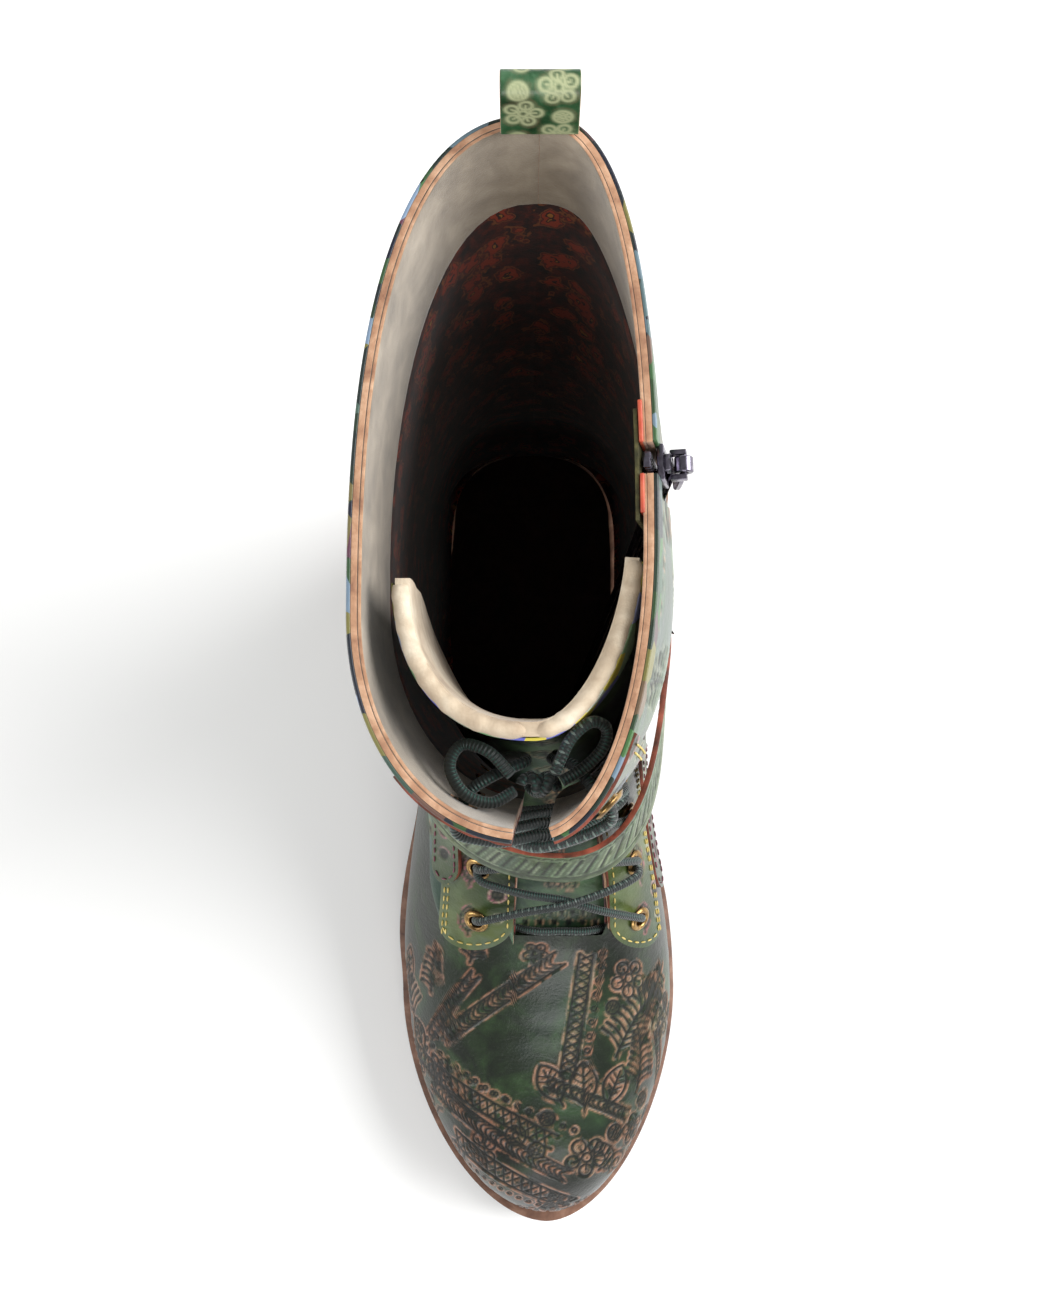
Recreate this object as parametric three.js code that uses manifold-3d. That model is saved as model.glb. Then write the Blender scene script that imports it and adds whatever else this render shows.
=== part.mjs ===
// Right lace-up ankle boot with a block heel, a tall front lacing, a side zip and an ankle strap.
// Millimetres. The toe points to -Y, the medial (inner) side to +X and +Z is up from the floor.
// Lengths called forward are counted from the back of the heel towards the toe.
import * as THREE from "three";
import { mergeVertices } from "three/addons/utils/BufferGeometryUtils.js";
import Module from "manifold-3d";

const wasm = await Module();
wasm.setup();

// Driving sizes
const soleLength = 266;
const soleWidth = 97.5;
const heelHeight = 40;
const heelLength = 60;
const heelLiftHeight = 6;
const heelTaper = 2.5;
const toeSpring = 7.5;
const outsoleThickness = 5;
const weltThickness = 3;
const weltMargin = 4.6;
const insoleThickness = 2.4;
const instepHeight = 77;
const ankleWidth = 66;
const shaftHeight = 250;
const collarLength = 147;
const collarWidth = 61;
const collarRise = 6;
const wall = 2.2;
const seatGap = 0.3;
const feltGap = 0.7;

// Front opening, facings and lacing
const throatAt = 166;
const gapAtThroat = 30;
const gapAtCollar = 8;
const eyestayThickness = 1.3;
const eyestayWidth = 27;
const eyeletPairs = 9;
const eyeletPitch = 21;
const firstEyelet = 9;
const eyeletSetback = 12;
const eyeletBore = 2.1;
const eyeletBarrel = 2.7;
const eyeletFlange = 4.1;
const eyeletFlangeHeight = 0.8;
const laceDiameter = 2.5;
const tongueThickness = 3;
const tongueLean = 17;

// Strap, side tabs, zip and pull loop
const strapWidth = 18;
const strapThickness = 1.6;
const strapUp = 104;
const tabWidth = 12;
const tabThickness = 1.5;
const tabLength = 46;
const zipAt = 54;
const zipBottom = 70;
const zipTeethWidth = 4;
const zipTapeWidth = 22;
const zipTapeThickness = 0.8;
const zipTeethThickness = 1.8;
const loopWidth = 16;
const loopRise = 15;
const loopThickness = 1.6;

const paint = {
  greenLeather: { color: "#3f4f3a", roughness: 0.3, metalness: 0 },
  greyGreenLeather: { color: "#7d8a7c", roughness: 0.35, metalness: 0 },
  brownEdge: { color: "#8a5740", roughness: 0.6, metalness: 0 },
  stackedHeel: { color: "#7c4e38", roughness: 0.55, metalness: 0 },
  rubber: { color: "#3a2a22", roughness: 0.8, metalness: 0 },
  sueding: { color: "#b7a692", roughness: 0.9, metalness: 0 },
  printedLining: { color: "#4a1d16", roughness: 0.8, metalness: 0 },
  brass: { color: "#b8925a", roughness: 0.3, metalness: 1 },
  gunmetal: { color: "#5a5560", roughness: 0.25, metalness: 1 },
  darkTape: { color: "#3b3a24", roughness: 0.8, metalness: 0 },
  tealCord: { color: "#1f3a36", roughness: 0.7, metalness: 0 },
};

// Turns a triangle list into a closed solid, leaving out triangles with no area.
const weldDistance = 1e-3;
function solidOf(geometry) {
  const bare = geometry.index ? geometry.toNonIndexed() : geometry.clone();
  bare.deleteAttribute("normal");
  bare.deleteAttribute("uv");
  const merged = mergeVertices(bare, weldDistance);
  const corners = merged.index.array;
  const kept = [];
  for (let i = 0; i < corners.length; i += 3) {
    const [a, b, c] = [corners[i], corners[i + 1], corners[i + 2]];
    if (a !== b && b !== c && c !== a) kept.push(a, b, c);
  }
  const make = (triangles) =>
    new wasm.Manifold(
      new wasm.Mesh({
        numProp: 3,
        vertProperties: merged.attributes.position.array,
        triVerts: new Uint32Array(triangles),
      }),
    );
  const made = make(kept);
  return made.volume() > 0 ? made : make(kept.reverse());
}

function geometryOf(solid) {
  const mesh = solid.getMesh();
  const geometry = new THREE.BufferGeometry();
  const stride = mesh.numProp;
  const count = mesh.vertProperties.length / stride;
  const positions = new Float32Array(count * 3);
  for (let i = 0; i < count; i++) {
    for (let k = 0; k < 3; k++) positions[3 * i + k] = mesh.vertProperties[stride * i + k];
  }
  geometry.setAttribute("position", new THREE.BufferAttribute(positions, 3));
  geometry.setIndex(new THREE.BufferAttribute(new Uint32Array(mesh.triVerts), 1));
  geometry.computeVertexNormals();
  return geometry;
}

// A closed body from rings of equal length, each ring closed on itself, with flat ends.
function loftOf(rings, endless = false) {
  const points = [];
  const face = (a, b, c) => points.push(a, b, c);
  const middle = (ring) =>
    ring.reduce((sum, p) => sum.add(p), new THREE.Vector3()).divideScalar(ring.length);
  const spans = endless ? rings.length : rings.length - 1;
  for (let i = 0; i < spans; i++) {
    const [low, high] = [rings[i], rings[(i + 1) % rings.length]];
    for (let j = 0; j < low.length; j++) {
      const k = (j + 1) % low.length;
      face(low[j], low[k], high[k]);
      face(low[j], high[k], high[j]);
    }
  }
  const ends = [
    [rings[0], true],
    [rings[rings.length - 1], false],
  ];
  for (const [ring, turned] of endless ? [] : ends) {
    const centre = middle(ring);
    ring.forEach((p, j) => {
      const q = ring[(j + 1) % ring.length];
      if (turned) face(centre, q, p);
      else face(centre, p, q);
    });
  }
  return solidOf(new THREE.BufferGeometry().setFromPoints(points));
}

const mix = (a, b, t) => a + (b - a) * t;
const limit = (t) => Math.min(1, Math.max(0, t));
const ease = (t) => limit(t) * limit(t) * (3 - 2 * limit(t));
const range = (count) => Array.from({ length: count }, (_, i) => i);

// Value of a table column at a place, by a smooth curve through its rows.
function tableAt(rows, column, place) {
  const last = rows.length - 1;
  const at = Math.min(last, Math.max(0, place));
  const i = Math.min(last - 1, Math.floor(at));
  const t = at - i;
  const value = (k) => rows[Math.min(last, Math.max(0, k))][column];
  const [a, b, c, d] = [value(i - 1), value(i), value(i + 1), value(i + 2)];
  const bend = 2 * a - 5 * b + 4 * c - d;
  return 0.5 * (2 * b + (c - a) * t + bend * t * t + (3 * (b - c) + d - a) * t * t * t);
}

function placeIn(rows, column, wanted) {
  let i = 0;
  while (i < rows.length - 2 && rows[i + 1][column] < wanted) i++;
  return i + limit((wanted - rows[i][column]) / (rows[i + 1][column] - rows[i][column]));
}

// Outline of the sole between its rounded toe and heel: forward as a share of soleLength,
// lateral and medial reach from the heel's centre line as shares of soleWidth.
const soleRows = [
  { forward: 0.06, lateral: 0.3, medial: 0.3 },
  { forward: 0.11, lateral: 0.326, medial: 0.326 },
  { forward: 0.19, lateral: 0.345, medial: 0.332 },
  { forward: 0.28, lateral: 0.352, medial: 0.325 },
  { forward: 0.38, lateral: 0.372, medial: 0.345 },
  { forward: 0.475, lateral: 0.413, medial: 0.41 },
  { forward: 0.565, lateral: 0.464, medial: 0.48 },
  { forward: 0.63, lateral: 0.48, medial: 0.508 },
  { forward: 0.703, lateral: 0.466, medial: 0.517 },
];
const toeRoundFrom = soleRows[soleRows.length - 1].forward;
const heelRoundTo = soleRows[1].forward;
const toeTipShare = 0.054;
const toeRoundness = 1.82;
const heelRoundness = 2.3;

const rounded = (t, power) => Math.pow(Math.max(0, 1 - Math.pow(limit(t), power)), 1 / power);

// Reach of the sole's edge on one side, drawn in by a margin. side is -1 lateral, 1 medial.
function soleEdge(forward, side, margin) {
  const column = side < 0 ? "lateral" : "medial";
  const toe = soleLength - margin;
  const share = forward / soleLength;
  const row = placeIn(soleRows, "forward", share);
  if (share > toeRoundFrom) {
    const from = toeRoundFrom * soleLength;
    const tip = toeTipShare * soleWidth;
    const reach = soleRows[soleRows.length - 1][column] * soleWidth - margin - side * tip;
    return side * (side * tip + reach * rounded((forward - from) / (toe - from), toeRoundness));
  }
  if (share < heelRoundTo) {
    const to = heelRoundTo * soleLength;
    const reach = soleRows[1][column] * soleWidth - margin;
    return side * reach * rounded((to - forward) / (to - margin), heelRoundness);
  }
  return side * (tableAt(soleRows, column, row) * soleWidth - margin);
}

// Underside of the outsole: flat at the ball, sprung at the toe, arched up to the heel.
const flatFrom = 0.615 * soleLength;
const flatTo = 0.765 * soleLength;
const heelSlope = 2.5;
const toeSpringPower = 2;
function underside(forward) {
  if (forward > flatTo) {
    const t = (forward - flatTo) / (soleLength - flatTo);
    return toeSpring * Math.pow(t, toeSpringPower);
  }
  if (forward > flatFrom) return 0;
  if (forward > heelLength) {
    return (heelHeight - heelSlope) * ease((flatFrom - forward) / (flatFrom - heelLength));
  }
  return mix(heelHeight, heelHeight - heelSlope, forward / heelLength);
}
const weltFloor = (forward) => underside(forward) + outsoleThickness + seatGap;
const seat = (forward) => weltFloor(forward) + weltThickness + seatGap;

// Places along a sole plate, closer together at its rounded ends.
function plateStations(count, from, to) {
  return range(count + 1).map((i) => mix(from, to, (1 - Math.cos((Math.PI * i) / count)) / 2));
}

// A plate that follows the sole, with its edge swelling out by bulge halfway up.
function solePlate(count, margin, floorOf, thickness, bulge) {
  const stations = plateStations(count, margin, soleLength - margin);
  const rings = stations.map((forward) => {
    const floor = floorOf(forward);
    const lateral = soleEdge(forward, -1, margin);
    const medial = soleEdge(forward, 1, margin);
    const swell = Math.min(bulge, (medial - lateral) / 2);
    const corner = (x, z) => new THREE.Vector3(x, -forward, z);
    return [
      corner(lateral + swell, floor),
      corner(medial - swell, floor),
      corner(medial, floor + thickness / 2),
      corner(medial - swell, floor + thickness),
      corner(lateral + swell, floor + thickness),
      corner(lateral, floor + thickness / 2),
    ];
  });
  return loftOf(rings);
}

// Foot sections of the last stand across the boot, from the toe to the instep. Each row gives
// the crest's height over the seat and its shift to the medial side, as shares of instepHeight
// and soleWidth, and how high the section is widest.
const footRows = [
  { forward: 0.564, crest: 1.0, shift: 0.092, belly: 0.26, front: 2.1, hold: 0.97 },
  { forward: 0.62, crest: 0.845, shift: 0.092, belly: 0.26, front: 2.1, hold: 0.97 },
  { forward: 0.68, crest: 0.735, shift: 0.088, belly: 0.27, front: 2.1, hold: 0.97 },
  { forward: 0.76, crest: 0.625, shift: 0.08, belly: 0.28, front: 2.15, hold: 0.97 },
  { forward: 0.85, crest: 0.535, shift: 0.068, belly: 0.3, front: 2.2, hold: 0.98 },
  { forward: 0.93, crest: 0.46, shift: 0.058, belly: 0.32, front: 2.2, hold: 0.98 },
  { forward: 1.0, crest: 0.4, shift: 0.054, belly: 0.34, front: 2.2, hold: 0.98 },
];
const toeCapFrom = 0.85;
const toeCapRoundness = 2.3;
const lastToe = soleLength - weltMargin;

function footSection(forward) {
  const row = placeIn(footRows, "forward", forward / soleLength);
  const share = (column) => tableAt(footRows, column, row);
  const from = toeCapFrom * soleLength;
  const over = limit((forward - from) / (lastToe - from));
  const low = seat(forward) + feltGap;
  return {
    frontForward: forward,
    frontUp: low + share("crest") * instepHeight * rounded(over, toeCapRoundness),
    backForward: forward,
    backUp: low,
    lateral: soleEdge(forward, -1, weltMargin) / share("hold"),
    medial: soleEdge(forward, 1, weltMargin) / share("hold"),
    hold: share("hold"),
    lateralBelly: share("belly"),
    medialBelly: share("belly"),
    crown: share("shift") * soleWidth,
    front: share("front"),
    back: soleHoldRoundness,
  };
}

// Ankle and shaft sections fan round from the instep to the level collar. front and back are
// forward shares of soleLength, frontUp and backUp heights as shares of shaftHeight, the sides
// shares of ankleWidth, belly the place of the widest point from back (0) to front (1).
// A row whose back lies on the seat has backUp null and takes its width there from the sole.
const shaftColumns = [
  "front", "frontUp", "back", "backUp", "lateral", "medial", "latBelly", "medBelly", "crown", "heel",
];
const shaftRows = [
  [0.532, 0.384, 0.48, null, 0.595, 0.6, 0.27, 0.27, 0.13, 2.2],
  [0.502, 0.433, 0.39, null, 0.545, 0.545, 0.3, 0.3, 0.12, 2.2],
  [0.48, 0.486, 0.293, null, 0.515, 0.52, 0.33, 0.33, 0.105, 2.25],
  [0.468, 0.534, 0.19, null, 0.5, 0.51, 0.38, 0.38, 0.09, 2.35],
  [0.462, 0.58, 0.095, null, 0.495, 0.51, 0.42, 0.42, 0.075, 2.6],
  [0.4595, 0.608, 0.04, null, 0.495, 0.515, 0.45, 0.45, 0.063, 2.9],
  [0.459, 0.624, 0.0195, null, 0.495, 0.515, 0.46, 0.46, 0.058, 3],
  [0.4585, 0.634, 0.0132, null, 0.495, 0.518, 0.47, 0.47, 0.054, 3],
  [0.458, 0.655, 0.0085, 0.245, 0.5, 0.525, 0.49, 0.49, 0.05, 2.9],
  [0.459, 0.69, 0.0, 0.325, 0.51, 0.53, 0.51, 0.51, 0.04, 2.6],
  [0.4625, 0.745, 0.01, 0.44, 0.52, 0.53, 0.54, 0.53, 0.025, 2.35],
  [0.4705, 0.82, 0.004, 0.6, 0.54, 0.51, 0.59, 0.54, 0.005, 2.25],
  [0.481, 0.91, -0.025, 0.8, 0.56, 0.46, 0.65, 0.56, -0.012, 2.35],
].map((row) => Object.fromEntries(shaftColumns.map((name, i) => [name, row[i]])));
const collarShare = {
  lateral: 0.623,
  medial: 0.377,
  latBelly: 0.69,
  medBelly: 0.58,
  crown: -0.026,
  heel: 2.5,
};
const crownRoundness = 2.1;
const soleHoldRoundness = 2.4;
const collarFront = 0.4925 * soleLength;
const heelFade = 0.16;

function shaftSection(row) {
  const onSeat = row.backUp === null;
  const backForward = row.back * soleLength;
  const lateral = -row.lateral * ankleWidth;
  const medial = row.medial * ankleWidth;
  const hold = onSeat ? soleEdge(backForward, 1, weltMargin) / medial : 0;
  return {
    frontForward: row.front * soleLength,
    frontUp: row.frontUp * shaftHeight,
    backForward,
    backUp: onSeat ? seat(backForward) + feltGap : row.backUp * shaftHeight,
    lateral,
    medial,
    hold: limit(hold),
    lateralBelly: row.latBelly,
    medialBelly: row.medBelly,
    crown: row.crown * ankleWidth,
    front: crownRoundness,
    back: row.heel,
  };
}

const collarSection = {
  frontForward: collarFront,
  frontUp: shaftHeight,
  backForward: collarFront - collarLength,
  backUp: shaftHeight + collarRise,
  lateral: -collarShare.lateral * collarWidth,
  medial: collarShare.medial * collarWidth,
  hold: 0,
  lateralBelly: collarShare.latBelly,
  medialBelly: collarShare.medBelly,
  crown: collarShare.crown * collarWidth,
  front: crownRoundness,
  back: collarShare.heel,
};

const footStationCount = 9;
const footFrom = footRows[0].forward * soleLength;
const sections = [
  ...range(footStationCount).map((i) => {
    const turn = (Math.PI / 2) * (1 - i / footStationCount);
    return footSection(mix(footFrom, lastToe, Math.sin(turn)));
  }),
  footSection(footFrom),
  ...shaftRows.map(shaftSection),
  collarSection,
];
const topStation = sections.length - 1;
const toeStation = 0.35;
const sectionAt = (u) =>
  Object.fromEntries(Object.keys(sections[0]).map((key) => [key, tableAt(sections, key, u)]));

// Point of the upper's outer face. u runs from the toe (0) to the collar, v round the section
// from the lateral back or bottom edge (-1) over the crest (0) to the medial one (1).
const bellyTurn = 0.42;
const closedHold = 0.02;
function facePoint(u, v) {
  const section = sectionAt(u);
  const closed = section.hold < closedHold;
  const wrapped = closed && Math.abs(v) > 1 ? v - 2 * Math.sign(v) : v;
  const from = Math.max(0, 1 - Math.abs(wrapped));
  const medial = wrapped > 0;
  const reach = medial ? section.medial : section.lateral;
  const belly = medial ? section.medialBelly : section.lateralBelly;
  let x;
  let t;
  if (from < bellyTurn) {
    const turn = (1 - from / bellyTurn) * (Math.PI / 2);
    const power = 2 / section.back;
    const hold = closed ? 0 : section.hold;
    x = reach * mix(hold, 1, Math.pow(Math.cos(turn), power));
    t = belly * (1 - Math.pow(Math.sin(turn), power));
  } else {
    const turn = ((from - bellyTurn) / (1 - bellyTurn)) * (Math.PI / 2);
    const power = 2 / section.front;
    x = mix(section.crown, reach, Math.pow(Math.max(0, Math.cos(turn)), power));
    t = mix(belly, 1, Math.pow(Math.sin(turn), power));
  }
  return new THREE.Vector3(
    x,
    -mix(section.backForward, section.frontForward, t),
    mix(section.backUp, section.frontUp, t),
  );
}

const stepU = 0.04;
const stepV = 0.012;
function faceNormal(u, v) {
  const along = facePoint(Math.min(topStation, u + stepU), v).sub(
    facePoint(Math.max(toeStation / 2, u - stepU), v),
  );
  const closed = sectionAt(u).hold < closedHold;
  const high = closed ? v + stepV : Math.min(1, v + stepV);
  const low = closed ? v - stepV : Math.max(-1, v - stepV);
  const round = facePoint(u, high).sub(facePoint(u, low));
  return round.cross(along).normalize();
}

const facing = (u, v, offset) => facePoint(u, v).addScaledVector(faceNormal(u, v), offset);

// v at a signed distance along the section from its crest, medial side positive.
const ringSamples = 120;
function vAt(u, distance) {
  const side = Math.sign(distance) || 1;
  let length = 0;
  let before = facePoint(u, 0);
  for (let i = 1; i <= ringSamples; i++) {
    const point = facePoint(u, (side * i) / ringSamples);
    const step = point.distanceTo(before);
    if (length + step >= Math.abs(distance)) {
      return (side * (i - 1 + (Math.abs(distance) - length) / step)) / ringSamples;
    }
    length += step;
    before = point;
  }
  return side;
}

// Arc length along the crest from the throat, and the station at such a length.
const crestSamples = 400;
const crest = [];
{
  let length = 0;
  let before = facePoint(toeStation, 0);
  for (const i of range(crestSamples + 1)) {
    const u = mix(toeStation, topStation, i / crestSamples);
    const point = facePoint(u, 0);
    length += point.distanceTo(before);
    before = point;
    crest.push({ u, length, forward: -point.y, up: point.z });
  }
}
const throatLength = crest.find((point) => point.forward < throatAt).length;
const crestLength = crest[crest.length - 1].length - throatLength;
const stationAt = (length) => {
  const wanted = length + throatLength;
  return (
    crest.find((point) => point.length >= wanted)?.u ??
    topStation + (wanted - crest[crest.length - 1].length) / eyeletPitch
  );
};
const gapNarrowsOver = 0.8 * crestLength;
const gapHalf = (length) => mix(gapAtThroat, gapAtCollar, ease(length / gapNarrowsOver)) / 2;

// The last's closed form, its face moved out (or in) by offset. drop lengthens it through the
// bottom and rise through the collar, for a form that hollows another.
const aroundCount = 20;
function lastForm(offset, drop, rise) {
  const stations = [];
  const footSteps = 9;
  const shaftSteps = 18;
  range(footSteps).forEach((i) => stations.push(mix(toeStation, footStationCount, i / footSteps)));
  range(shaftSteps + 1).forEach((i) =>
    stations.push(mix(footStationCount, topStation, i / shaftSteps)),
  );
  const rings = stations.map((u) => {
    const ring = range(aroundCount + 1).map((j) => facing(u, (2 * j) / aroundCount - 1, offset));
    const down = drop * limit(sectionAt(u).hold / heelFade);
    const below = (p) => p.clone().setZ(p.z - down);
    return [below(ring[0]), ...ring, below(ring[ring.length - 1])];
  });
  if (rise > 0) {
    const top = rings[rings.length - 1];
    rings.push(top.map((p) => p.clone().setZ(p.z + rise)));
  }
  return loftOf(rings);
}

// A slab on the upper's face. rows holds lines of [u, v, backward, upward]: a place on the face
// and how far it is moved from there. low and high are its two offsets, as numbers or as
// functions of the row's share.
function slabOf(rows, low, high) {
  const at = ([u, v, backward = 0, upward = 0], value, i) => {
    const offset = typeof value === "function" ? value(i / (rows.length - 1)) : value;
    return facing(u, v, offset).add(new THREE.Vector3(0, backward, upward));
  };
  const rings = rows.map((row, i) => [
    ...row.map((place) => at(place, low, i)),
    ...row.map((place) => at(place, high, i)).reverse(),
  ]);
  return loftOf(rings);
}

// Rows for a slab between two distances from the crest, as functions of the length from the throat.
function crestRows(lengths, columns, fromOf, toOf) {
  return lengths.map((length) => {
    const u = stationAt(length);
    return range(columns + 1).map((j) => [u, vAt(u, mix(fromOf(length), toOf(length), j / columns))]);
  });
}

// Place between two ends where a test turns true.
const halvings = 24;
function turningPlace(from, to, isPast) {
  let [near, far] = [from, to];
  for (let i = 0; i < halvings; i++) {
    const half = (near + far) / 2;
    if (isPast(half)) far = half;
    else near = half;
  }
  return (near + far) / 2;
}

// v on the medial side at a forward place of station u.
const medialAt = (u, forward) => turningPlace(0, 1, (v) => -facePoint(u, v).y <= forward);

// Round rod with its axis on the face's normal, used for the eyelet holes.
const holeSides = 6;
function rodAt(u, v, radius, low, high) {
  const rod = new THREE.CylinderGeometry(radius, radius, high - low, holeSides);
  rod.translate(0, (high + low) / 2, 0);
  const up = new THREE.Vector3(0, 1, 0);
  const turn = new THREE.Quaternion().setFromUnitVectors(up, faceNormal(u, v));
  rod.applyQuaternion(turn);
  const place = facePoint(u, v);
  rod.translate(place.x, place.y, place.z);
  return solidOf(rod);
}

function eyeletPlace(pair, side) {
  const length = firstEyelet + pair * eyeletPitch;
  const u = stationAt(length);
  return [u, vAt(u, side * (gapHalf(length) + eyeletSetback))];
}

const root = new THREE.Group();
function add(name, geometry, material) {
  const mesh = new THREE.Mesh(geometry, new THREE.MeshStandardMaterial(material));
  mesh.name = name;
  root.add(mesh);
  return mesh;
}
const addSolid = (name, solid, material) => add(name, geometryOf(solid), material);

// Sole: outsole, welt, insole, heel block and heel lift.
const plateCount = 26;
const edgeBulge = 0.7;
addSolid(
  "outsole",
  solePlate(plateCount, edgeBulge, underside, outsoleThickness, edgeBulge),
  paint.rubber,
);
addSolid("welt", solePlate(plateCount, 0, weltFloor, weltThickness, edgeBulge), paint.brownEdge);
const insolePlay = 1.2;
const insoleMargin = weltMargin + wall + insolePlay;
const insoleFloor = (forward) => seat(forward) + seatGap;
addSolid(
  "insole",
  solePlate(plateCount, insoleMargin, insoleFloor, insoleThickness, edgeBulge),
  paint.sueding,
);

// The heel's outline: a rounded back and a flat breast.
const heelSides = 9;
function heelRing(inset, zOf) {
  const back = inset;
  const breast = heelLength - inset;
  const stations = range(heelSides + 1).map((i) => {
    const turn = (Math.PI / 2) * (i / heelSides);
    return mix(back, breast, 1 - Math.cos(turn));
  });
  const at = (forward, side) =>
    new THREE.Vector3(soleEdge(forward, side, inset), -forward, zOf(forward));
  return [
    ...stations.map((forward) => at(forward, 1)),
    ...stations.map((forward) => at(forward, -1)).reverse(),
  ];
}
const blockInset = 1.6;
addSolid(
  "heel_block",
  loftOf([
    heelRing(blockInset + heelTaper, () => heelLiftHeight + seatGap),
    heelRing(blockInset, (forward) => underside(forward) - seatGap),
  ]),
  paint.stackedHeel,
);
addSolid(
  "heel_lift",
  loftOf([
    heelRing(blockInset + heelTaper, () => 0),
    heelRing(blockInset + heelTaper, () => heelLiftHeight),
  ]),
  paint.rubber,
);

// Upper: one hollow shell, open underneath, at the collar, down the throat and along the zip.
const throughBottom = 5;
const cutDepth = 8;
const collarSpare = 12;
const pastCollar = 8;
const throatSteps = 16;
const throatColumns = 4;
const lengthsBetween = (from, to, count) => range(count + 1).map((i) => mix(from, to, i / count));
const throatCut = slabOf(
  crestRows(
    lengthsBetween(0, crestLength + pastCollar, throatSteps),
    throatColumns,
    (length) => -gapHalf(length),
    gapHalf,
  ),
  -cutDepth,
  cutDepth,
);

// Station whose medial side stands at a height, at the zip's forward place.
const zipStationAt = (up) =>
  turningPlace(footStationCount, topStation, (u) => facePoint(u, medialAt(u, zipAt)).z > up);
const zipAcross = [-1, -0.5, 0, 0.5, 1];
const zipSteps = 12;
function zipRows(fromUp, width) {
  const from = zipStationAt(zipBottom);
  return range(zipSteps + 1).map((i) => {
    const u = i === 0 ? zipStationAt(fromUp) : mix(from, topStation, i / zipSteps);
    const v = medialAt(u, zipAt);
    const pace = facePoint(u, v + stepV).distanceTo(facePoint(u, v - stepV)) / (2 * stepV);
    return zipAcross.map((k) => [u, v + (k * width) / 2 / pace]);
  });
}
const zipGap = 1.1;
const slotWidth = zipTeethWidth + 2 * zipGap;
const zipSlot = slabOf(zipRows(zipBottom - zipGap, slotWidth), -cutDepth, cutDepth).add(
  slabOf(
    [0, pastCollar].map((past) => {
      const v = medialAt(topStation, zipAt);
      const pace = facePoint(topStation, v + stepV).distanceTo(facePoint(topStation, v)) / stepV;
      return zipAcross.map((k) => [topStation, v + (k * slotWidth) / 2 / pace, 0, past]);
    }),
    -cutDepth,
    cutDepth,
  ),
);
const eyelets = range(eyeletPairs).flatMap((pair) =>
  [-1, 1].map((side) => ({ pair, side, place: eyeletPlace(pair, side) })),
);
const holeRadius = (eyeletBarrel + seatGap) / Math.cos(Math.PI / holeSides);
const eyeletHoles = eyelets.map(({ place: [u, v] }) =>
  rodAt(u, v, holeRadius, -cutDepth, cutDepth),
);
const punched = (solid, holes) => holes.reduce((whole, hole) => whole.subtract(hole), solid);
addSolid(
  "upper",
  punched(
    lastForm(0, 0, 0)
      .subtract(lastForm(-wall, throughBottom, collarSpare))
      .subtract(throatCut)
      .subtract(zipSlot),
    eyeletHoles,
  ),
  paint.greenLeather,
);

// Eyestays: a facing on each side of the throat, with a rounded lobe over the vamp.
const lobeReach = 4;
const lobeRound = 12;
const lobeTip = 0.12;
const lobeSteps = 5;
const eyestayColumns = 5;
const eyestayTop = 1.5;
const eyestayLow = seatGap;
const eyestayHigh = eyestayLow + eyestayThickness;
for (const [name, side] of [
  ["eyestay_lateral", -1],
  ["eyestay_medial", 1],
]) {
  const lobe = lengthsBetween(0, Math.PI / 2, lobeSteps).map((turn) => lobeRound * (1 - Math.cos(turn)));
  const alongEyelets = range(2 * eyeletPairs - 1).map((i) => firstEyelet + (i * eyeletPitch) / 2);
  const lengths = [
    ...lobe.map((length) => length - lobeReach),
    ...alongEyelets,
    crestLength - eyestayTop,
  ];
  const halfWidth = (length) => {
    const round = limit((lobeRound - lobeReach - length) / lobeRound);
    return (eyestayWidth / 2) * Math.max(lobeTip, Math.sqrt(1 - round * round));
  };
  const centre = (length) => gapHalf(length) + eyestayWidth / 2;
  const rows = crestRows(
    lengths,
    eyestayColumns,
    (length) => side * (centre(length) - halfWidth(length)),
    (length) => side * (centre(length) + halfWidth(length)),
  );
  const holes = eyeletHoles.filter((_, i) => eyelets[i].side === side);
  addSolid(
    name,
    punched(slabOf(rows, eyestayLow, eyestayHigh), holes),
    paint.greyGreenLeather,
  );
}

// Tongue: a wide padded leaf under the facings, leaning back from them towards the collar.
const tongueUnder = 10;
const tongueBelowCollar = 3;
const tongueSteps = 16;
const tongueColumns = 8;
const tongueHalfLow = 24;
const tongueHalfTop = 62;
const tongueArmShare = 0.3;
const tongueLengths = lengthsBetween(-tongueUnder, crestLength - tongueBelowCollar, tongueSteps);
const tongueRise = (length) => ease(length / (crestLength - tongueBelowCollar));
const tongueHalf = (length) => mix(tongueHalfLow, tongueHalfTop, tongueRise(length));
const tongueRows = crestRows(
  tongueLengths,
  tongueColumns,
  (length) => -tongueHalf(length),
  tongueHalf,
).map((row, i) =>
  row.map(([u, v], j) => {
    const aside = Math.abs((2 * j) / tongueColumns - 1);
    const lean = tongueLean * Math.pow(tongueRise(tongueLengths[i]), 2);
    return [u, v, lean * mix(1, tongueArmShare, aside * aside)];
  }),
);
const tonguePlay = 1.2;
const tongueHigh = -(wall + tonguePlay);
addSolid(
  "tongue",
  slabOf(tongueRows, tongueHigh - tongueThickness, tongueHigh),
  paint.greenLeather,
);

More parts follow.
